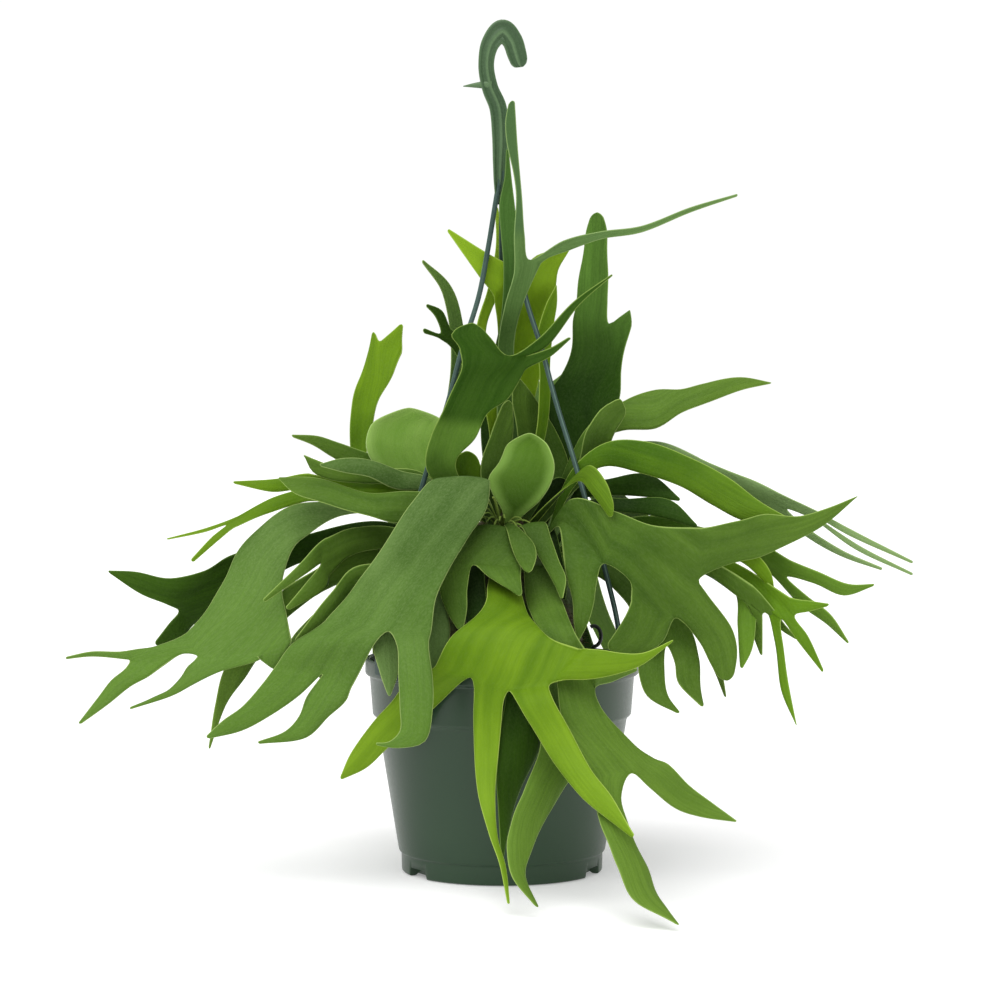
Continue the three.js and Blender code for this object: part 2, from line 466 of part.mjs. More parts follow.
// Pot.
function makePot() {
  const inner = (radius) => radius - POT_WALL;
  const ringInside = FOOT_RADIUS - FOOT_RING_WIDTH;
  const lipFoot = POT_HEIGHT - LIP_DEPTH;
  const profile = [
    [0, 0], [CENTRE_PAD_RADIUS, 0], [CENTRE_PAD_RADIUS + PAD_SLOPE, FLOOR_UNDERSIDE],
    [ringInside - FOOT_RING_SLOPE, FLOOR_UNDERSIDE], [ringInside, 0],
    [FOOT_RADIUS - 1, 0], [FOOT_RADIUS, FOOT_CHAMFER], [FOOT_RADIUS + FOOT_DRAFT, FOOT_HEIGHT],
    [WALL_FOOT_RADIUS, FOOT_HEIGHT + WALL_LEDGE], [WALL_TOP_RADIUS, BAND_FOOT - BAND_UNDERCUT],
    [BAND_FOOT_RADIUS, BAND_FOOT], [BAND_TOP_RADIUS, lipFoot - 1],
    [LIP_RADIUS - 0.8, lipFoot], [LIP_RADIUS, lipFoot + LIP_UNDERCUT],
    [LIP_RADIUS - 0.2, POT_HEIGHT - LIP_INSIDE_STEP], [LIP_RADIUS - LIP_SOFTENING, POT_HEIGHT],
    [inner(LIP_RADIUS) - LIP_INSIDE_STEP, POT_HEIGHT], [inner(BAND_TOP_RADIUS), lipFoot],
    [inner(BAND_FOOT_RADIUS), BAND_FOOT], [inner(WALL_TOP_RADIUS), BAND_FOOT - BAND_INNER_STEP],
    [inner(FOOT_RADIUS), POT_FLOOR], [0, POT_FLOOR],
  ];
  let pot = solidOf(revolved(profile, POT_SIDES));
  const notch = new THREE.BoxGeometry(CUT_REACH, FOOT_NOTCH.width, 2 * FOOT_NOTCH.height);
  const core = solidOf(new THREE.CylinderGeometry(
    FOOT_RADIUS - FOOT_NOTCH.depth, FOOT_RADIUS - FOOT_NOTCH.depth, 2 * CUT_REACH, POT_SIDES)
    .rotateX(Math.PI / 2));
  for (let i = 0; i < FOOT_NOTCHES; i += 1) {
    const angle = turned(FOOT_NOTCH.first + (360 / FOOT_NOTCHES) * i);
    const cut = notch.clone().translate(FOOT_RADIUS, 0, 0).rotateZ(angle);
    pot = pot.subtract(solidOf(cut).subtract(core));
  }
  const drain = new THREE.CylinderGeometry(DRAIN_HOLE_RADIUS, DRAIN_HOLE_RADIUS, CUT_REACH, DRAIN_HOLE_SIDES)
    .rotateX(Math.PI / 2);
  for (let i = 0; i < DRAIN_HOLES; i += 1) {
    const angle = turned((360 / DRAIN_HOLES) * i);
    const place = [DRAIN_RING_RADIUS * Math.cos(angle), DRAIN_RING_RADIUS * Math.sin(angle), 0];
    pot = pot.subtract(solidOf(drain.clone().translate(...place)));
  }
  return geometryOf(pot);
}

function makeMix() {
  const inside = (radius) => radius - POT_WALL - GAP;
  const foot = POT_FLOOR + GAP;
  const crown = MIX_TOP + MIX_CROWN;
  return revolved([
    [0, foot], [inside(FOOT_RADIUS) - MIX_SLACK.foot, foot],
    [inside(WALL_TOP_RADIUS) - MIX_SLACK.wall, BAND_FOOT - BAND_INNER_STEP],
    [inside(BAND_FOOT_RADIUS) - MIX_SLACK.band, BAND_FOOT + 2],
    [inside(BAND_TOP_RADIUS) - MIX_SLACK.top, MIX_TOP - MIX_DIP], [MIX_SHOULDERS[0], MIX_TOP],
    [MIX_SHOULDERS[1], crown], [0, crown],
  ], POT_SIDES);
}

// Mound: rings of a dome, in shallow overlapping folds. A swollen copy trims what grows from it.
function makeMound(swell) {
  const rings = [[MOUND_RINGS[0][0] - swell, MOUND_RINGS[0][1]], ...MOUND_RINGS.slice(1)];
  const positions = [0, 0, rings[0][0]];
  for (const [height, radius] of rings) {
    for (let i = 0; i < MOUND_SIDES; i += 1) {
      const angle = (2 * Math.PI * i) / MOUND_SIDES;
      const wave = Math.sin(MOUND_FOLDS * angle + height / MOUND_TWIST);
      const fold = MOUND_RELIEF * wave * Math.min(1, radius / MOUND_SMOOTH_RADIUS);
      const out = radius + fold + swell;
      positions.push(out * Math.cos(angle), out * Math.sin(angle), height);
    }
  }
  const top = positions.length / 3;
  positions.push(0, 0, MOUND_TOP + swell);
  const faces = [];
  const at = (ring, i) => 1 + ring * MOUND_SIDES + (i % MOUND_SIDES);
  for (let i = 0; i < MOUND_SIDES; i += 1) {
    faces.push(0, at(0, i + 1), at(0, i));
    for (let ring = 0; ring < rings.length - 1; ring += 1) {
      faces.push(at(ring, i), at(ring, i + 1), at(ring + 1, i + 1));
      faces.push(at(ring, i), at(ring + 1, i + 1), at(ring + 1, i));
    }
    faces.push(at(rings.length - 1, i), at(rings.length - 1, i + 1), top);
  }
  const geometry = new THREE.BufferGeometry();
  geometry.setAttribute("position", new THREE.BufferAttribute(new Float32Array(positions), 3));
  geometry.setIndex(faces);
  return geometry;
}

// Blades. Both edges of a strip are smooth curves through its stations. At a fork an edge turns round the
// sinus, because the first point of the neighbouring part leads into it.
class Sheet {
  points = [];
  quads = [];

  add(point) {
    this.points.push(point);
    return this.points.length - 1;
  }

  join(row, next) {
    for (let i = 0; i < row.length - 1; i += 1) this.quads.push([row[i], row[i + 1], next[i + 1], next[i]]);
  }
}

const elevationPoint = (across, up, near) => {
  const scale = 1 - near / VIEW_DISTANCE;
  return new THREE.Vector3(
    EYE_ACROSS + (across - EYE_ACROSS) * scale, -near, EYE_HEIGHT + (up - EYE_HEIGHT) * scale);
};

// A leaning frond turns a little from the elevation without changing its outline there. A point stands nearer
// by its lean's slopes across and up from the blade's middle, up to a reach, and less so close to the root.
const stationsOf = (part) => [...part.stations, ...part.parts.flatMap(stationsOf)];
const middleOf = ([leftAcross, leftUp, rightAcross, rightUp]) => [
  (leftAcross + rightAcross) / 2, (leftUp + rightUp) / 2];

function leaningElevation({ blade, lean }) {
  const [root, ...outer] = stationsOf(blade).map(middleOf);
  const mean = (axis) => outer.reduce((sum, middle) => sum + middle[axis], 0) / outer.length;
  const [centreAcross, centreUp] = [mean(0), mean(1)];
  const place = (across, up, near) => {
    const slope = lean[0] * (across - centreAcross) + lean[1] * (up - centreUp);
    const grown = THREE.MathUtils.smoothstep(Math.hypot(across - root[0], up - root[1]), 0, LEAN_GROWTH);
    return elevationPoint(across, up, near + grown * LEAN_REACH * Math.tanh(slope / LEAN_REACH));
  };
  return {
    edges: ([leftAcross, leftUp, rightAcross, rightUp, near]) => [
      place(leftAcross, leftUp, near), place(rightAcross, rightUp, near)],
    sinus: ([across, up, near]) => place(across, up, near),
  };
}

function uprightPlane({ azimuth, reach, lift }) {
  const angle = turned(azimuth);
  const place = (out, up, aside) => new THREE.Vector3(
    out * reach * Math.cos(angle) - aside * Math.sin(angle),
    out * reach * Math.sin(angle) + aside * Math.cos(angle), up + lift);
  return {
    edges: ([out, up, aside, half]) => [place(out, up, aside - half), place(out, up, aside + half)],
    sinus: ([out, up, aside]) => place(out, up, aside),
  };
}

function crossing(sheet, left, right, along, columns) {
  const width = right.distanceTo(left);
  const rise = new THREE.Vector3().crossVectors(right.clone().sub(left), along).normalize();
  return Array.from({ length: columns + 1 }, (_, i) => {
    const u = i / columns;
    const cup = 4 * u * (1 - u) * BLADE_CUP * width;
    return sheet.add(left.clone().lerp(right, u).addScaledVector(rise, -cup));
  });
}

function bentCrossing(sheet, knots, counts) {
  const row = [sheet.add(knots[0])];
  counts.forEach((count, k) => {
    for (let i = 1; i <= count; i += 1) row.push(sheet.add(knots[k].clone().lerp(knots[k + 1], i / count)));
  });
  return row;
}

function layPart(sheet, part, plane, start) {
  const edges = part.stations.map(plane.edges);
  const lefts = edges.map(([left]) => left);
  const rights = edges.map(([, right]) => right);
  const lead = start ? 1 : 0;
  if (start) {
    lefts.unshift(start.leadLeft, sheet.points[start.row[0]]);
    rights.unshift(start.leadRight, sheet.points[start.row.at(-1)]);
  }
  const curves = [lefts, rights].map((knots) => new THREE.CatmullRomCurve3(knots, false, "centripetal"));
  const spans = lefts.length - 1;
  const middle = (t) => curves[0].getPoint(t).add(curves[1].getPoint(t)).multiplyScalar(0.5);
  let row = start ? start.row : null;
  for (let span = lead; span < spans; span += 1) {
    const length = middle(span / spans).distanceTo(middle((span + 1) / spans));
    const steps = Math.max(1, Math.round(length / ROW_PITCH));
    for (let step = row ? 1 : 0; step <= steps; step += 1) {
      const t = (span + step / steps) / spans;
      const along = middle(Math.min(1, t + 0.01)).sub(middle(Math.max(0, t - 0.01)));
      const last = span === spans - 1 && step === steps && part.parts.length > 0;
      const [left, right] = curves.map((curve) => curve.getPoint(t));
      const corners = [left, ...part.sinuses.map(plane.sinus), right];
      const next = last
        ? bentCrossing(sheet, corners, part.parts.map((child) => child.columns))
        : crossing(sheet, left, right, along, part.columns);
      if (row) sheet.join(row, next);
      row = next;
    }
  }
  let first = 0;
  part.parts.forEach((child, k) => {
    const firstLeft = (other) => plane.edges(other.stations[0])[0];
    const firstRight = (other) => plane.edges(other.stations[0])[1];
    layPart(sheet, child, plane, {
      row: row.slice(first, first + child.columns + 1),
      leadLeft: k === 0 ? lefts.at(-2) : firstRight(part.parts[k - 1]),
      leadRight: k === part.parts.length - 1 ? rights.at(-2) : firstLeft(part.parts[k + 1]),
    });
    first += child.columns;
  });
}

// Thickens a sheet to both sides, with the same triangles on both faces and a rim round its edge.
function thickened(sheet, thickness) {
  const { points, quads } = sheet;
  const triangles = quads.flatMap(([a, b, c, d]) => {
    const even = points[a].distanceTo(points[c]) <= points[b].distanceTo(points[d]);
    return even ? [[a, b, c], [a, c, d]] : [[a, b, d], [b, c, d]];
  });
  const normals = points.map(() => new THREE.Vector3());
  for (const [a, b, c] of triangles) {
    const ab = points[b].clone().sub(points[a]);
    const normal = ab.cross(points[c].clone().sub(points[a]));
    for (const i of [a, b, c]) normals[i].add(normal);
  }
  const positions = [];
  for (const side of [0.5, -0.5]) {
    points.forEach((point, i) => {
      positions.push(...point.clone().addScaledVector(normals[i].normalize(), side * thickness).toArray());
    });
  }
  const under = points.length;
  const faces = triangles.flatMap(([a, b, c]) => [a, b, c, under + a, under + c, under + b]);
  const uses = new Map();
  for (const [a, b, c] of triangles) {
    for (const [from, to] of [[a, b], [b, c], [c, a]]) uses.set(`${from} ${to}`, [from, to]);
  }
  for (const [from, to] of uses.values()) {
    if (uses.has(`${to} ${from}`)) continue;
    faces.push(to, from, under + from, to, under + from, under + to);
  }
  const geometry = new THREE.BufferGeometry();
  geometry.setAttribute("position", new THREE.BufferAttribute(new Float32Array(positions), 3));
  geometry.setIndex(faces);
  return geometry;
}

const swollenMound = solidOf(makeMound(GAP));

function makeFrond(blade, plane) {
  const sheet = new Sheet();
  layPart(sheet, blade, plane, null);
  return geometryOf(solidOf(thickened(sheet, BLADE_THICKNESS)).subtract(swollenMound));
}

// Hanger. A swept bar carries its section along a spine; the section's second axis faces `facing`.
function swept(spine, sections, facing) {
  const rings = spine.map((point, i) => {
    const before = spine[Math.max(0, i - 1)];
    const along = spine[Math.min(spine.length - 1, i + 1)].clone().sub(before).normalize();
    const side = new THREE.Vector3().crossVectors(along, facing).normalize();
    const out = new THREE.Vector3().crossVectors(along, side);
    return sections[i].map(([a, b]) => point.clone().addScaledVector(side, a).addScaledVector(out, b));
  });
  const count = sections[0].length;
  const faces = [];
  for (let ring = 0; ring < rings.length - 1; ring += 1) {
    for (let i = 0; i < count; i += 1) {
      const a = ring * count + i;
      const b = ring * count + ((i + 1) % count);
      faces.push(a, b, b + count, a, b + count, a + count);
    }
  }
  const end = (rings.length - 1) * count;
  for (let i = 1; i < count - 1; i += 1) faces.push(0, i + 1, i, end, end + i, end + i + 1);
  const positions = new Float32Array(rings.flat().flatMap((point) => point.toArray()));
  const geometry = new THREE.BufferGeometry();
  geometry.setAttribute("position", new THREE.BufferAttribute(positions, 3));
  geometry.setIndex(faces);
  return geometry;
}

const oval = (width, thickness, sides) => Array.from({ length: sides }, (_, i) => {
  const angle = (2 * Math.PI * (i + 0.5)) / sides;
  return [(width / 2) * Math.cos(angle), (thickness / 2) * Math.sin(angle)];
});

function makeStrand(azimuth) {
  const outwards = new THREE.Vector3(Math.cos(turned(azimuth)), Math.sin(turned(azimuth)), 0);
  const knots = STRAND_CURVE.map(([out, up]) => outwards.clone().multiplyScalar(out).setZ(up));
  const spine = new THREE.CatmullRomCurve3(knots).getPoints(STRAND_STEPS);
  const section = oval(STRAND_WIDTH, STRAND_THICKNESS, STRAND_SIDES);
  return geometryOf(solidOf(swept(spine, spine.map(() => section), outwards)).add(makeClip(azimuth)));
}

// A clip hooks over the lip: a plate outside it, a bridge on top and a tongue that the strand ends in.
function makeClip(azimuth) {
  const { thickness, low, high } = CLIP_PLATE;
  const inside = LIP_RADIUS + GAP;
  const foot = POT_HEIGHT + GAP;
  const box = (length, width, height, out, up) => new THREE.BoxGeometry(length, width, height)
    .translate(out, 0, up + height / 2)
    .rotateZ(turned(azimuth));
  const plate = box(thickness, CLIP_WIDTH, high - low, inside + thickness / 2, low);
  const bridge = box(
    CLIP_BRIDGE.length, CLIP_WIDTH, CLIP_BRIDGE.height, inside + thickness - CLIP_BRIDGE.length / 2, foot);
  const tongueWidth = CLIP_WIDTH - CLIP_TONGUE.narrowing;
  const tongue = box(
    CLIP_TONGUE.length, tongueWidth, CLIP_TONGUE.height, inside - CLIP_TONGUE.inset, foot);
  return solidOf(plate).add(solidOf(bridge)).add(solidOf(tongue));
}

function makeHook() {
  const knots = HOOK_CURVE.map(([across, up, width]) => new THREE.Vector3(across, width, up));
  const stations = new THREE.CatmullRomCurve3(knots, false, "centripetal").getPoints(HOOK_STEPS);
  const spine = stations.map(({ x, z }) => new THREE.Vector3(x, 0, z));
  const sections = stations.map(({ y }) => oval(y, HOOK_THICKNESS, HOOK_SIDES));
  const arm = swept(spine, sections, new THREE.Vector3(0, 1, 0));
  const spur = new THREE.CylinderGeometry(SPUR.point, SPUR.radius, SPUR.base - SPUR.tip, SPUR.sides)
    .rotateZ(Math.PI / 2)
    .translate((SPUR.base + SPUR.tip) / 2, 0, SPUR.up);
  const collar = revolved(COLLAR, COLLAR_SIDES);
  return geometryOf(solidOf(arm).add(solidOf(spur)).add(solidOf(collar)));
}

const plant = new THREE.Group();
plant.add(meshOf("pot", makePot(), 0x2d4437, 0.38));
plant.add(meshOf("growing_mix", makeMix(), 0x3a2b1f, 0.95));
plant.add(meshOf("root_mound", makeMound(0), 0x6a5a3a, 0.92));
plant.add(meshOf("hook", makeHook(), 0x335443, 0.42));
for (const [name, azimuth] of STRANDS) plant.add(meshOf(name, makeStrand(azimuth), 0x2e4c40, 0.42));
for (const spec of FRONDS) {
  const [color, roughness] = TONES[spec.tone];
  const geometry = makeFrond(spec.blade, leaningElevation(spec));
  plant.add(meshOf(`frond_${spec.name}`, geometry, color, roughness));
}
for (const spec of BACK_FRONDS) {
  const [color, roughness] = TONES[spec.tone];
  const geometry = makeFrond(BACK_BLADES[spec.blade], uprightPlane(spec));
  plant.add(meshOf(`frond_${spec.name}`, geometry, color, roughness));
}

export default plant;
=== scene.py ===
"""Looks of a staghorn fern in its hanging nursery pot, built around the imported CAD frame.

Every piece is worked out in the row's own frame. Sizes are in millimetres until a mesh is made, then metres.
"""

from __future__ import annotations

import logging
import math
from dataclasses import dataclass, field
from enum import Enum
from typing import Sequence

import bpy
import numpy as np
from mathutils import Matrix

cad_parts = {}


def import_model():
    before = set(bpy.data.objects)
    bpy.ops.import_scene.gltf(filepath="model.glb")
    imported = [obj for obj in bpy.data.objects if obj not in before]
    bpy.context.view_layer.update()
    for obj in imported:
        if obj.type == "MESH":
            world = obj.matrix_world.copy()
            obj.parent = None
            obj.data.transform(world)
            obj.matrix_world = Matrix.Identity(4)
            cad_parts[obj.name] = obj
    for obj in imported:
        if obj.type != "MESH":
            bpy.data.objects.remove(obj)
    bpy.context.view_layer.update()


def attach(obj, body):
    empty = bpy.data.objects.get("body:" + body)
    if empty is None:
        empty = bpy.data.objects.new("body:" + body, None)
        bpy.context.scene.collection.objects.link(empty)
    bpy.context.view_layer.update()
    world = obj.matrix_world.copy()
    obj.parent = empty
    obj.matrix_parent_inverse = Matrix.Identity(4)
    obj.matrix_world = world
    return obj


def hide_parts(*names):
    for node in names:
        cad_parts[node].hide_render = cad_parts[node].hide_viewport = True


log = logging.getLogger("fern")

MM = 0.001
ROOT = "root"
NO_LENGTH = 1e-9
NEARLY_NOTHING = 1e-6
LEAST_CHORD = 0.01
CORNER_SHARE = 0.45
CORNER_POINTS = 4
WHITE = (1.0, 1.0, 1.0, 1.0)
FULL_TURN = 2 * np.pi
UP = np.array([0.0, 0.0, 1.0])
BACKWARDS = np.array([0.0, 1.0, 0.0])

# The eye that saw the plant: its place in millimetres, how far it looks down, and its lens.
EYE_ACROSS = -1.5
VIEW_DISTANCE = 2025.0
EYE_HEIGHT = 352.0
LOOK_DOWN_DEG = 2.095
LENS_MM = 97.2
SENSOR_MM = 36.0

# A blade's section: how deep it cups for its width, its thickness in the middle and at the rim, and how far
# in from the rim it thins.
BLADE_CUP = 0.07
BLADE_HEART = 1.05
BLADE_RIM = 0.34
RIM_TAPER = 3.0

# Its mesh: columns for each of its own, the length of a row, and the rows of a rounded tip, with the share
# of the last span that they may take and the gap they leave before them.
FINE_COLUMNS = 6
FINE_ROW = 3.2
TIP_ROWS = 5
TIP_ROW = 3.0
TIP_REACH = 0.9
TIP_GAP = 1.02
TIP_LEAST = 0.05

# Its ripple: two sines along it, in millimetres to a radian, each shifted across it, and how far from the
# root and how wide it is where the ripple is at its full height.
RIPPLE = 0.85
LONG_WAVE = 13.0
LONG_SHIFT = 1.3
SHORT_WAVE = 5.9
SHORT_SHIFT = 2.0
SHORT_SEED = 2.1
SHORT_SHARE = 0.7
RIPPLE_ROOT = 60.0
RIPPLE_WIDTH = 30.0
RIPPLE_MIDDLE = 0.35
RIPPLE_SIDES = 0.65

# Its lean, and how it bends at a fork: where the bend starts in the span before, how the edge reading falls
# to the sinuses there, and over what lengths a new part takes over from the row that it grows from.
LEAN_REACH = 16.0
LEAN_GROWTH = 80.0
BEND_START = 0.35
SINUS_EDGE = 0.3
SINUS_SLOPE = 9.0
SINUS_SPAN = 0.12
ROW_FADE = 26.0
EDGE_FADE = 9.0
EDGE_STEP = 8.0

# The first seed of each group of fronds, and its step from one frond to the next.
FRONT_SEEDS = (1.0, 0.7)
YOUNG_SEEDS = (4.0, 1.1)
BACK_SEEDS = (2.0, 0.9)
SHADE_PITCH = 5.1

# Noise on leaves: its cells to a metre, or to a millimetre across, a millimetre along and one whole shade.
BLADE_READINGS = ("across", "along", "shade")
LEAF_SLOW = 16.0
LEAF_PATCH = 60.0
LEAF_FUZZ = 1700.0
LEAF_BANDS = (0.09, 0.006, 7.0)
LEAF_VEINS = (0.5, 0.016, 9.0)
LEAF_WRINKLES = (0.7, 0.5, 5.0)

# Where a leaf's colours change, in millimetres from its root or its edge, and in metres on the stem.
# The first pair is how far from the root the painted shade at the crown fades out.
ROOT_SHADE_FADE = (15.0, 95.0)
MARGIN_FADE = (0.5, 11.0)
RIM_FADE = (0.15, 0.8)
STEM_UP = (0.468, 0.482)
STEM_ASIDE = (0.02, 0.03)
FELT_GREY = (136, 158, 104)
LEAF_RELIEF = 0.0009

# Noise on plastic and on fibres, in cells to a metre, and the depth of their relief in metres.
PLASTIC_SLOW = 9.0
PLASTIC_FINE = 420.0
PLASTIC_GRAIN = 2400.0
PLASTIC_RELIEF = 0.0002
FIBRE_SLOW = 26.0
FIBRE_RELIEF = 0.0012

Array = np.ndarray
Station = Sequence[float]
Colour = tuple[int, int, int]
Pair = tuple[float, float]
Triple = tuple[float, float, float]


class Tone(Enum):
    """The kinds of blade on the plant, by their colour and felt."""

    FELT = "felt"
    MID = "mid"
    BRIGHT = "bright"
    LIME = "lime"
    DARK = "dark"
    SHIELD = "shield"


@dataclass(frozen=True)
class Part:
    """One strip of a blade, which may split at its sinuses into further parts."""

    columns: int
    stations: Array
    sinuses: Array
    parts: tuple[Part, ...]


@dataclass(frozen=True)
class Frond:
    """A named frond of one tone, and how steeply it comes nearer across and up."""

    name: str
    tone: Tone
    lean: Pair
    blade: Part


def lobe(columns: int, stations: Sequence[Station]) -> Part:
    """Returns a strip so many columns wide that runs out to its tip."""
    return Part(columns, np.array(stations, float), np.empty((0, 0)), ())


def fork(stations: Sequence[Station], sinuses: Sequence[Station], *parts: Part) -> Part:
    """Returns a strip that splits at its sinuses into the parts that follow it."""
    columns = sum(part.columns for part in parts)
    return Part(columns, np.array(stations, float), np.array(sinuses, float), parts)


def frond(name: str, tone: str, lean: Sequence[float], blade: Part) -> Frond:
    """Returns one frond of the plant."""
    return Frond(name, Tone(tone), (lean[0], lean[1]), blade)


